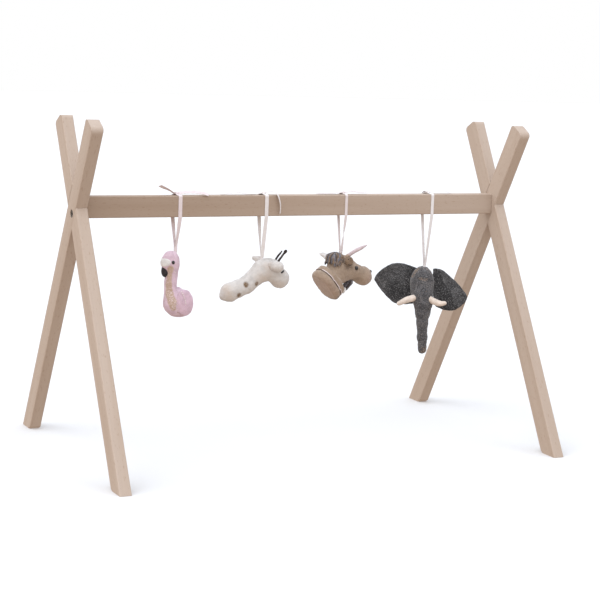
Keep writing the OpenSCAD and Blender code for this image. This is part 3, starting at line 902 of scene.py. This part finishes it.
for stick, (turn, shift, tint) in STICKS.items():
    end_shade = BAR_END_SHADE if stick == "crossbar" else 0
    eased(painted(stick, wood(f"beech_{stick}", turn, shift, tint, end_shade)))
for side in ("left", "right"):
    painted(f"{side}_dowel", wood(f"beech_{side}_dowel", (0, math.pi / 2, 0), (0.4, 0.2, 0.9), 1.0))
    painted(f"{side}_bolt", steel(f"{side}_bolt_steel", (0.16, 0.155, 0.15), 0.24))
    painted(f"{side}_insert", steel(f"{side}_insert_steel", (0.55, 0.50, 0.42), 0.36))

# ------------------------------------------------------------------ wool and thread

PINK = (0.66, 0.495, 0.58)
CREAM = (0.61, 0.58, 0.555)
TAN = (0.365, 0.275, 0.205)
GREY_BLUE = (0.150, 0.142, 0.160)
CHARCOAL = (0.080, 0.079, 0.085)
IVORY = (0.74, 0.64, 0.56)
# Painted shade: the tan that stands for shade down the flamingo's neck and chest.
NECK_SHADE_TAN = (0.50, 0.36, 0.25)
SPOT = (0.17, 0.10, 0.045)
NEAR_BLACK = (0.012, 0.012, 0.013)
PALE_DOT = (0.72, 0.60, 0.58)

# The pink wool takes a painted tan shade down its neck and chest, with pale dots in it.
pink_felt = felt("pink_felt", PINK, (("neck_shade", NECK_SHADE_TAN, 1.3, 0.18, 1.0), ("speckle", PALE_DOT, 3.4, 0.05, 1.0)), 0.22)
wing_felt = felt("wing_felt", (0.67, 0.49, 0.58), (), 0.24)
white_felt = felt("white_felt", (0.82, 0.80, 0.78), (), 0.14)
black_felt = felt("black_felt", (0.018, 0.015, 0.016), (), 0.5, light=(0.08, 0.07, 0.075))
horn_black_felt = felt("horn_black_felt", (0.030, 0.020, 0.016), (), 0.5, light=(0.11, 0.085, 0.075))
# The cream wool takes painted tan shade besides its real brown spots.
cream_felt = felt("cream_felt", CREAM, (("tan_shade", (0.60, 0.50, 0.42), 0.8, 0.5, 0.75), ("spot", SPOT, 0.5, 0.42, 1.0)),
                  0.18)
# The tan wool takes painted shade and painted light where its masks lie.
tan_felt = felt("tan_felt", TAN, (("shade", (0.16, 0.115, 0.085), 1.6, 0.4, 0.8),
                                  ("glow", (0.46, 0.33, 0.27), 0.7, 0.5, 0.7)), 0.42)
brown_felt = felt("brown_felt", (0.24, 0.165, 0.11), (), 0.5, dark=(0.10, 0.065, 0.045))
dark_felt = felt("dark_felt", (0.055, 0.045, 0.045), (), 0.5, light=(0.17, 0.14, 0.13))
grey_felt = felt("grey_felt", GREY_BLUE, (), 0.5, light=(0.34, 0.33, 0.36), dark=(0.06, 0.055, 0.065))
charcoal_felt = felt("charcoal_felt", CHARCOAL, (("black", NEAR_BLACK, 2.4, 0.12, 1.0),
                                                 ("tan", (0.26, 0.19, 0.14), 2.2, 0.2, 0.9)), 0.75,
                     light=(0.23, 0.225, 0.23), dark=(0.030, 0.030, 0.033))
# The ear wool takes near-black painted shade over the inner parts of the ears.
ear_felt = felt("ear_felt", (0.068, 0.068, 0.071),
                (("black", NEAR_BLACK, 2.6, 0.1, 1.0), ("inner_shade", NEAR_BLACK, 0.7, 0.08, 0.92)), 0.75,
                light=(0.20, 0.198, 0.202), dark=(0.02, 0.02, 0.022))
ivory_felt = felt("ivory_felt", IVORY, (("root", (0.55, 0.43, 0.34), 0.9, 0.4, 0.8),), 0.18)
horn_felt = felt("horn_felt", (0.60, 0.50, 0.52), (("root", (0.40, 0.29, 0.20), 0.8, 0.3, 1.0),), 0.2)
far_horn_felt = felt("far_horn_felt", (0.72, 0.70, 0.69), (("root", (0.36, 0.25, 0.17), 0.8, 0.3, 1.0),), 0.2)
black_bead = bead("black_bead", (0.010, 0.009, 0.010))
black_thread = thread("black_thread", (0.025, 0.02, 0.02))
pale_thread = thread("pale_thread", (0.80, 0.70, 0.70))
tan_thread = thread("tan_thread", (0.42, 0.28, 0.22))

# ------------------------------------------------------------------ flamingo, looking along -X

flamingo_body = join(
    6,
    egg((-7, 0, -18.5), (13.2, 11, 14.5)),
    egg((-13, 0, -24), (8.5, 8, 9)),
    limb((-4, 0, -27, 10), (-6.5, 0, -52, 9.2), (-5, 0, -84, 11)),
    egg((6, 0, -84), (21.5, 16, 21.5)),
    egg((15, 0, -84), (13.5, 12, 19)),
)
# Painted shade in tan down the front of the neck and chest, on both sides.
flamingo_neck_shade = mirrored(band([(-11, -10, -30, 4.6), (-13, -9, -43, 4.4), (-14, -9, -55, 5.8), (-13, -10, -67, 7),
                                (-9.5, -15, -79, 7.4), (-7, -15, -90, 5)], 2.2))
flamingo_speckles = mirrored(band([(-16, -7, -52, 3), (-13, -10, -66, 5), (-9, -15, -80, 6.4), (-6, -15, -92, 4)],
                                  3.4))


def flamingo_speckle_mask(p):
    """Pale dots in the lower part of the painted neck shade."""
    return 0.34 * np.clip(flamingo_speckles(p), 0, 1)


soft_piece("flamingo", "body_felt", flamingo_body, (-25, -20, -110), (33, 20, 1), pink_felt,
           ("flamingo_body",), 1.1, (6, 0.4), {"neck_shade": flamingo_neck_shade, "speckle": flamingo_speckle_mask}, 3)
for side, which in ((-1, "left"), (1, "right")):
    wing = egg((12, side * 13.5, -81.5), (13.6, 5.2, 20), tilt=-6)
    soft_piece("flamingo", f"{which}_wing_felt", cut(1.2, wing, grown(flamingo_body, -0.8)),
               (-4, min(side * 6, side * 21), -104), (28, max(side * 6, side * 21), -58), wing_felt,
               (f"flamingo_{which}_wing",), 1.1, (5, 0.4), None, 5 + side)
flamingo_cheek = both(0.8, grown(flamingo_body, 0.7), egg((-17.5, 0, -21), (9.4, 15, 6.6), tilt=-8))
soft_piece("flamingo", "cheek_felt", flamingo_cheek, (-28, -15, -34), (-3, 15, -10), white_felt,
           ("flamingo_cheeks",), 0.8, (4, 0.25), None, 9)
flamingo_beak = join(3, egg((-16.2, 0, -33.5), (5.4, 5.4, 8.8)), egg((-15.4, 0, -38.5), (4.6, 4.8, 5.4)))
soft_piece("flamingo", "beak_felt", flamingo_beak, (-24, -8, -46), (-8, 8, -22), black_felt,
           ("flamingo_beak",), 0.8, (3, 0.25), None, 10)
flamingo_eye_field = join(0.1, egg((-7.4, -10.9, -20.6), (2.6, 1.8, 3)), egg((-7.4, 10.9, -20.6), (2.6, 1.8, 3)))
soft_piece("flamingo", "bead_eyes", flamingo_eye_field, (-12, -14, -26), (-4, 14, -16), black_bead,
           ("flamingo_eyes",), 0.5, (3, 0.0), None, 11)
for side, which in ((-1, "left"), (1, "right")):
    wing = egg((12, side * 13.5, -81.5), (13.6, 5.2, 20), tilt=-6)
    threads("flamingo", f"{which}_wing_stitches", join(1, flamingo_body, wing),
            [(3, side * 17, -60), (6, side * 19, -66), (9.5, side * 19.5, -74), (11.5, side * 19.5, -84)],
            2.6, 1.0, 0.75, pale_thread, 0.35)
    threads("flamingo", f"{which}_tail_stitches", flamingo_body,
            [(0, side * 16, -97), (4, side * 16, -98.6), (8, side * 15, -97.4), (10.5, side * 14, -94)],
            1.9, 1.0, 0.6, tan_thread, 0.3)

# ------------------------------------------------------------------ giraffe, looking along +X

giraffe_body = join(
    7,
    limb((-51.6, 0, -49, 13.8), (-38, 0, -45.2, 12.8), (-24, 0, -39.6, 12.8), (0, 0, -20, 15), blend=5),
    limb((-51, 0, -54, 10), (-60.6, 0, -55.8, 6.6)),
    egg((11, 0, -16.4), (23, 14, 18)),
    limb((22, 0, -20, 14), (32.6, 0, -31, 12.6)),
    egg((32.6, 0, -31), (14.4, 12, 14.2)),
)
# Painted shade in tan: at the cut end of the neck, beside the ears, low on the head and where the head meets the neck,
# on both sides.
giraffe_tan_shade = most(
    mirrored(band([(-62, -8, -42, 6), (-56, -13, -54, 5)], 7)),
    mirrored(band([(3, -14, -9, 3), (7, -14.5, -22, 4)], 6)),
    mirrored(blot((24, -12, -38), (7, 6, 3), 5)),
    mirrored(blot((-2, -14, -28), (9, 6, 6), 7)),
)
giraffe_spots = most(*[mirrored(blot(centre, (size, 6, size * 1.1), 1.5)) for centre, size in (
    ((-30.1, -12.2, -37.4), 3.8), ((-12.2, -13, -36.6), 3.1), ((-41, -12.4, -53.2), 3.3))])
soft_piece("giraffe", "body_felt", giraffe_body, (-72, -19, -68), (52, 19, 5), cream_felt,
           ("giraffe_head_neck",), 1.2, (6, 0.45), {"tan_shade": giraffe_tan_shade, "spot": giraffe_spots}, 13)
GIRAFFE_EARS = {"left": ((10, 12, -6, 3.4), (4, 18, -3.4, 5), (-2, 23, -1, 3.4)),
                "right": ((11, -12, -8, 5), (16.4, -15.6, -9.2, 7.2), (21.4, -18, -10.2, 8))}
for which, rows in GIRAFFE_EARS.items():
    ear = limb(*rows, blend=3)
    low = [min(r[k] - 10 for r in rows) for k in range(3)]
    high = [max(r[k] + 10 for r in rows) for k in range(3)]
    # Painted tan shade at the root of each ear.
    soft_piece("giraffe", f"{which}_ear_felt", ear, low, high, cream_felt,
               (f"giraffe_{which}_ear",), 1.0, (4, 0.35), {"tan_shade": blot(rows[0][:3], (5, 5, 5), 2)}, 15)
GIRAFFE_HORNS = {
    "right": [(26.8, -4, -4.4, 2), (31.4, -4.3, 2, 1.7), (36, -4.7, 8, 1.7), (38, -4.9, 10.6, 2.5), (39, -5, 12, 2.4)],
    "left": [(26, 4, -3.4, 1.7), (30, 4.3, 3, 1.5), (34.4, 4.7, 7.6, 1.4), (37, 5, 10.6, 1.1)],
}
for which, rows in GIRAFFE_HORNS.items():
    tube("giraffe", f"{which}_horn_felt", rows, horn_black_felt, (f"giraffe_{which}_horn",), 6)
tubes("giraffe", "eyelid_threads",
      [hugging(giraffe_body, [(28.6, s * 12.6, -20.4, 1.1), (31.6, s * 12.4, -18.8, 1.45), (34.8, s * 11.8, -17, 1.1)],
               0.3) for s in (-1, 1)], black_thread, ("giraffe_eyelids",))

# ------------------------------------------------------------------ gnu, looking along +X

SEAM_MIDDLE = np.array((-21.0, 0, -43.5))
SEAM_WAY = np.array((-0.766, 0, -0.643))
PAD_STRAIGHT = 7.5


def out_of_seam(p, middle, way):
    """How deep points lie along the seam's own axis, and how far out of it, past the pad's straight stretch."""
    up = np.array((way[2], 0, -way[0]))
    deep = (p - middle) @ way
    high = np.maximum(np.abs((p - middle) @ up) - PAD_STRAIGHT, 0)
    return deep, np.hypot(high, p[:, 1] - middle[1])


def seam_disc(p):
    """A short drum just ahead of the seam, which the neck grows out to."""
    deep, out = out_of_seam(p, SEAM_MIDDLE, SEAM_WAY)
    return np.maximum(out - 20.9, np.maximum(deep - 0.2, -deep - 8))


def seam_route(side, radius):
    """Points round one side of the seam, from its top to its foot."""
    up = np.array((SEAM_WAY[2], 0, -SEAM_WAY[0]))
    route = []
    for turn in np.linspace(1.3, -1.3, 9):
        high = radius * math.sin(turn) + math.copysign(PAD_STRAIGHT, turn) * min(1, abs(turn) * 3)
        route.append(SEAM_MIDDLE + up * high + np.array((0, side * radius * math.cos(turn), 0)))
    return route


gnu_head = join(
    7,
    egg((1, 0, -23.5), (24, 16, 22.5)),
    limb((-3, 0, -27, 16), (-13, 0, -37, 17)),
    limb((16, 0, -24.8, 15.2), (31, 0, -30.8, 13.4), (40, 0, -34.8, 13)),
    egg((47.5, 0, -37.8), (14, 13.6, 14.8)),
    seam_disc,
)
gnu_pad = cushion(SEAM_MIDDLE, SEAM_WAY, 21.8, 12.6, 6.1, 1.5)
gnu_shade = most(
    mirrored(band([(27, -11, -40, 2.4), (21, -12, -45, 3.2)], 3)),
    mirrored(blot((5, -15, -20), (9, 5, 4), 3)),
)
# Painted light brightens the end of the muzzle; painted shade darkens the mouth corners and a spot below each ear.
soft_piece("gnu", "head_felt", cut(0.6, gnu_head, lambda p: -((p - SEAM_MIDDLE) @ SEAM_WAY)), (-40, -26, -64), (60, 26, 2), tan_felt, ("gnu_head",), 1.2, (6, 0.45),
           {"shade": gnu_shade, "glow": blot((50, 0, -40), (12, 16, 12), 6)}, 17)
# Painted light brightens the outer face of the neck pad; painted shade darkens a spot low on its near side.
pad = soft_piece("gnu", "neck_pad_felt", gnu_pad, (-62, -32, -86), (14, 32, -10), tan_felt,
                 ("gnu_neck_pad",), 1.2, (7, 0.6),
                 {"shade": blot((-10, -14, -66), (6, 7, 5), 4), "glow": blot((-40, 0, -56), (20, 30, 22), 9)}, 19)
for side, which in ((-1, "right"), (1, "left")):
    threads("gnu", f"{which}_seam_thread", join(1, gnu_head, gnu_pad),
            seam_route(side, 21), 0, 0, 0.75, pale_thread, 0.35, 40)

gnu_mane = egg((-10.5, 0, -8.4), (12.6, 13, 10))
soft_piece("gnu", "mane_felt", gnu_mane, (-28, -17, -21), (5, 17, 5), dark_felt, ("gnu_mane",), 1.2,
           (3, 0.9), None, 21)


def gnu_lock(side, share, begin_out, fall):
    """One lock of the mane: from the crest it sweeps out, back and down, and stands clear at its tip."""
    sway = 2.2 * math.sin(5.1 * share + fall)
    begin = (-15 + 17 * share, side * begin_out, 1.8)
    middle = (-20 + 19 * share + sway, side * 10.5, -2)
    low = (-25 + 21 * share - sway, side * 15, -10.5 - 0.5 * fall)
    line = hugging(gnu_mane, [(*begin, 0.9), (*middle, 1.3 + 0.16 * fall), (*low, 1.5)], 0.5 + 0.16 * fall)
    tip = (line[-1, 0] - 2.6, line[-1, 1] + side * 1.5, line[-1, 2] - 2.6 - 0.6 * fall, 0.4)
    return [tuple(row) for row in line] + [tip]


LOCKS = 15
locks = {"grey": [], "brown": [], "dark": []}
for side in (-1, 1):
    for i in range(LOCKS):
        shade = ("brown", "grey", "brown", "dark", "brown")[i % 5]
        locks[shade].append(gnu_lock(side, i / (LOCKS - 1), 2.0 + 1.2 * math.sin(1.9 * i), 3 + 3 * math.sin(2.3 * i)))
        share = (i + 0.5) / LOCKS
        foot = hugging(gnu_mane, [(-22 + 20 * share, side * 13, -7, 1.3), (-25 + 22 * share, side * 16, -13, 1.3)], 0.6)
        end = (foot[-1, 0] - 1.2, foot[-1, 1] + side * 0.8, foot[-1, 2] - 4.4 - 1.2 * math.sin(3.1 * i), 0.4)
        locks["grey"].append([tuple(row) for row in foot] + [end])
BACK_LOCKS = 9
for i in range(BACK_LOCKS):
    aside = -1 + 2 * i / (BACK_LOCKS - 1)
    crest = [(-14, 5 * aside, 1.2, 1.3), (-20.5, 9 * aside, -3.4, 1.9), (-23.4, 11.5 * aside, -10, 1.7)]
    back = hugging(gnu_mane, crest, 0.8)
    end = (back[-1, 0] - 2.2, back[-1, 1] * 1.1, back[-1, 2] - 3.6 - 1.4 * math.sin(2.7 * i), 0.5)
    locks[("brown", "grey", "dark")[i % 3]].append([tuple(row) for row in back] + [end])
tubes("gnu", "mane_grey_locks", locks["grey"], grey_felt)
tubes("gnu", "mane_brown_locks", locks["brown"], brown_felt)
tubes("gnu", "mane_dark_locks", locks["dark"], dark_felt)

near_horn = [(0, -9, -6, 4.2), (2.6, -14, -2.4, 3.5), (5.6, -19, 2.4, 2.9), (10.2, -23, 6.8, 3.1), (14.6, -26.4, 10, 3.1),
             (19, -29.4, 12.8, 2.6), (22.8, -31.6, 15, 1.7), (26, -33.4, 17.4, 0.6)]
far_horn = [(-11, 9, -9, 4.6), (-14.4, 14, -6.8, 4.9), (-15.4, 19, -4.6, 4.5), (-16.6, 25, -3.2, 3.3),
            (-17.2, 29, -2.8, 2.1), (-17.6, 32, -2.2, 0.7)]
tube("gnu", "right_horn_felt", near_horn, horn_felt, ("gnu_right_horn",), 8,
     masks={"root": blot((2, -13, -4), (6, 8, 7), 2.5)}, seed=23)
tube("gnu", "left_horn_felt", far_horn, far_horn_felt, ("gnu_left_horn",), 8,
     masks={"root": blot((-12, 11, -8), (6, 8, 6), 2.5)}, seed=24)
for side, which in ((-1, "right"), (1, "left")):
    ear = cut(1, egg((3, side * 18, -9.6), (7.8, 6.4, 7.6)), egg((3, side * 24.6, -10), (4.4, 2.2, 4.4)))
    soft_piece("gnu", f"{which}_ear_felt", ear, (-7, min(side * 9, side * 27), -20), (13, max(side * 9, side * 27), 0),
               brown_felt, (f"gnu_{which}_ear",), 0.9, (3, 0.35), None, 25)
    for part, first, last in (("upper", 1.4, 2.8), ("lower", 3.9, 5.6)):
        rim = [(3 + 6 * math.cos(a), side * 22.4, -9.6 + 5.8 * math.sin(a)) for a in np.linspace(first, last, 7)]
        threads("gnu", f"{which}_ear_{part}_stitches", ear, rim, 2.4, 0.7, 0.5, black_thread)
gnu_eye = onto(gnu_head, [(21, -14, -21.9)], 0.5)[0]
gnu_eyes = join(0.1, egg(gnu_eye, (3.4, 2.2, 3.4)), egg(gnu_eye * (1, -1, 1), (3.4, 2.2, 3.4)))
soft_piece("gnu", "bead_eyes", gnu_eyes, (18, -20, -27), (27, 20, -18), black_bead, ("gnu_eyes",), 0.5,
           (3, 0.0), None, 26)
tubes("gnu", "nostril_threads",
      [hugging(gnu_head, [(57.6, s * 4, -28.2, 0.9), (57.6, s * 6, -29.2, 1.5), (57, s * 7.6, -30.4, 0.9)], 0.3)
       for s in (-1, 1)], black_thread)
gnu_beard = join(2, limb((19.6, 0, -45.4, 6), (12.6, 0, -53, 4.6)), limb((12.6, 0, -53, 4.6), (8, 0, -59, 2.8)))
soft_piece("gnu", "beard_felt", gnu_beard, (0, -9, -63), (26, 9, -36), grey_felt, ("gnu_beard",), 0.9,
           (2.4, 1.0), None, 27)
beard_locks = [[(18 - 1.2 * i, y, -45 - 1.4 * i, 1.6), (13 - 1.3 * i, 1.1 * y, -52 - 1.2 * i, 1.5),
                (9 - 1.1 * i, 0.8 * y, -57 - 0.8 * i, 0.5)]
               for i, y in enumerate((-5.6, 5.6, -4.2, 4.2, -2, 2, 0))]
tubes("gnu", "beard_locks", beard_locks, dark_felt)
tubes("gnu", "beard_tuft", [[(8, -3 + y, -55, 1.8), (6.4, -4 + y, -58, 2.2), (4.4 + 0.4 * y, -4.6 + 1.2 * y, -62, 0.6)]
                            for y in (-1.6, 0, 1.6)], white_felt)

# ------------------------------------------------------------------ elephant, looking along -Y before its turn

elephant_head = join(
    7,
    egg((-2.6, 2, -29), (20, 19, 28.6)),
    limb((-1.6, -5, -48, 17), (0, -7, -60, 14.6), (0, -9, -74, 11.6), (0, -10, -91, 9), (1, -10, -115, 7.8),
         (2.3, -9, -135, 7), blend=4),
)
elephant_tan = most(band([(-17, -5, -16, 2), (-14, -5, -8, 3), (-8, -3, -2.4, 1.6)], 3),
                    band([(6, -6, -2, 2), (13, -6, -6, 3.4), (16, -6, -12, 1.6)], 3),
                    band([(-10, -16, -18, 1), (2, -17.5, -20, 1.6), (10, -16, -16, 1)], 2.5),
                    blot((5, -10, -136), (5, 8, 6), 3))
soft_piece("elephant", "head_felt", elephant_head, (-25, -27, -144), (25, 24, 3), charcoal_felt,
           ("elephant_head_trunk",), 1.3, (4, 0.6), {"tan": elephant_tan, "black": blot((0, 0, 50), (1, 1, 1))}, 31)
# Painted shade, near black, covers the inner parts of both ears and some of their edges.
EARS = {
    "left": ([[-12, -4], [-26, 0.6], [-38, 2.6], [-50, 1.6], [-60, -3], [-72, -13], [-79.4, -24], [-77, -31],
              [-66, -45], [-56, -55], [-46, -62.4], [-34, -64], [-22, -63], [-12, -56]], 6, "black",
             most(blot((-21, -2, -22), (9, 9, 34), 6), blot((-46, -2, -40), (16, 9, 14), 8),
                  band([(-20, 0, -2, 1), (-40, 0, 1, 1), (-58, 0, -2, 1)], 2.5))),
    "right": ([[14, -4], [24, -4], [32, -7], [42, -15], [53, -24], [64, -36], [71, -46], [69, -55], [63, -62],
               [52, -69.6], [40, -71], [28, -68], [18, -58]], -6, "inner_shade",
              most(band([(21, -2, -10, 6), (24, -2, -30, 9), (34, -2, -44, 11), (42, -2, -60, 9)], 2.5),
                   band([(26, -2, -60, 5), (44, -2, -68, 5), (54, -2, -64, 4)], 2.5))),
}
for which, (outline, tip_way, shade_name, black) in EARS.items():
    smooth = curve([[*corner, 0] for corner in outline + outline[:1]], 4)[:-1, :2]
    ear = plate(smooth, lambda x, z, w=tip_way: 3 + w * np.maximum(0, np.abs(x) - 20) / 50
                + 1.6 * np.sin(z / 17 + np.abs(x) / 21),
                lambda x, z, deep: 2.3 + 1.1 * smooth_step(deep / 26), 1.9)
    low = (min(c[0] for c in outline) - 3, -10, min(c[1] for c in outline) - 3)
    high = (max(c[0] for c in outline) + 3, 16, max(c[1] for c in outline) + 3)
    soft_piece("elephant", f"{which}_ear_felt", ear, low, high, ear_felt, (f"elephant_{which}_ear",),
               1.2, (5, 0.4), {shade_name: black}, 33)
TUSKS = {
    "left": [(-11, -11, -49.6, 4.8), (-18, -14.5, -51.2, 5.3), (-26, -17.4, -53.2, 5.1), (-33.4, -20.2, -56, 4.5),
             (-40, -22.4, -59.2, 3.4)],
    "right": [(7, -11.5, -49, 5), (12, -15, -52.4, 5.2), (19, -18, -55.4, 5.2), (27, -21.4, -57, 4.5),
              (33.2, -23.4, -55.8, 3.4)],
}
for which, rows in TUSKS.items():
    way = -1 if which == "left" else 1
    tube("elephant", f"{which}_tusk_felt", rows, ivory_felt, (f"elephant_{which}_tusk",), 8,
         masks={"root": blot((way * 13, -14, -54), (6, 6, 6), 3)}, seed=35 + way)

# ------------------------------------------------------------------ floor and lights

FLOOR_SIZE = 30.0
SKY_ABOVE = (1.08, 1.13, 1.22)
SKY_LEVEL = (0.93, 0.88, 0.83)
SKY_BELOW = (0.72, 0.61, 0.53)


def floor():
    """A pale floor. It throws no light back: the sky below stands for that, so the undersides stay darker."""
    mesh = bpy.data.meshes.new("floor")
    a = FLOOR_SIZE / 2
    mesh.from_pydata([(-a, -a, 0), (a, -a, 0), (a, a, 0), (-a, a, 0)], [], [(0, 1, 2, 3)])
    n = Nodes("white_floor")
    faint = n.noise(n.place(), 3, 2.0)
    mesh.materials.append(n.finish(n.ramp(faint, [(0.3, 0.735), (0.7, 0.75)]), 0.9, Specular_IOR_Level=0.1))
    made = bpy.data.objects.new("floor", mesh)
    bpy.context.scene.collection.objects.link(made)
    made.visible_diffuse = False
    made.visible_glossy = False


def sun(name, way, strength, spread, colour):
    """Soft daylight travelling along way."""
    light = bpy.data.lights.new(name, "SUN")
    light.energy = strength
    light.angle = math.radians(spread)
    light.color = colour
    lamp = bpy.data.objects.new(name, light)
    lamp.rotation_euler = Vector(way).to_track_quat("-Z", "Y").to_euler()
    bpy.context.scene.collection.objects.link(lamp)


def sky():
    """An even pale sky, which the camera sees as white."""
    world = bpy.data.worlds.new("sky")
    world.use_nodes = True
    bpy.context.scene.world = world
    tree = world.node_tree
    lit = tree.nodes["Background"]
    way = tree.nodes.new("ShaderNodeTexCoord")
    parts = tree.nodes.new("ShaderNodeSeparateXYZ")
    level = tree.nodes.new("ShaderNodeMapRange")
    level.inputs["From Min"].default_value = -1
    level.inputs["From Max"].default_value = 1
    shades = tree.nodes.new("ShaderNodeValToRGB")
    shades.color_ramp.elements.new(0.5)
    for element, (at, colour) in zip(shades.color_ramp.elements,
                                     ((0.42, SKY_BELOW), (0.55, SKY_LEVEL), (0.80, SKY_ABOVE))):
        element.position = at
        element.color = (*colour, 1)
    tree.links.new(way.outputs["Generated"], parts.inputs["Vector"])
    tree.links.new(parts.outputs["Z"], level.inputs["Value"])
    tree.links.new(level.outputs["Result"], shades.inputs["Fac"])
    tree.links.new(shades.outputs["Color"], lit.inputs["Color"])
    lit.inputs["Strength"].default_value = 1.0
    seen = tree.nodes.new("ShaderNodeBackground")
    seen.inputs["Color"].default_value = (1, 1, 1, 1)
    path = tree.nodes.new("ShaderNodeLightPath")
    mix = tree.nodes.new("ShaderNodeMixShader")
    tree.links.new(path.outputs["Is Camera Ray"], mix.inputs["Fac"])
    tree.links.new(lit.outputs["Background"], mix.inputs[1])
    tree.links.new(seen.outputs["Background"], mix.inputs[2])
    tree.links.new(mix.outputs["Shader"], tree.nodes["World Output"].inputs["Surface"])


floor()
sky()
sun("key", (0.66, 0.05, -0.70), 0.95, 60, (1.0, 0.98, 0.96))
sun("top", (0.05, 0.45, -0.85), 0.75, 80, (0.96, 1, 1.06))
bpy.context.scene.view_settings.view_transform = "Standard"
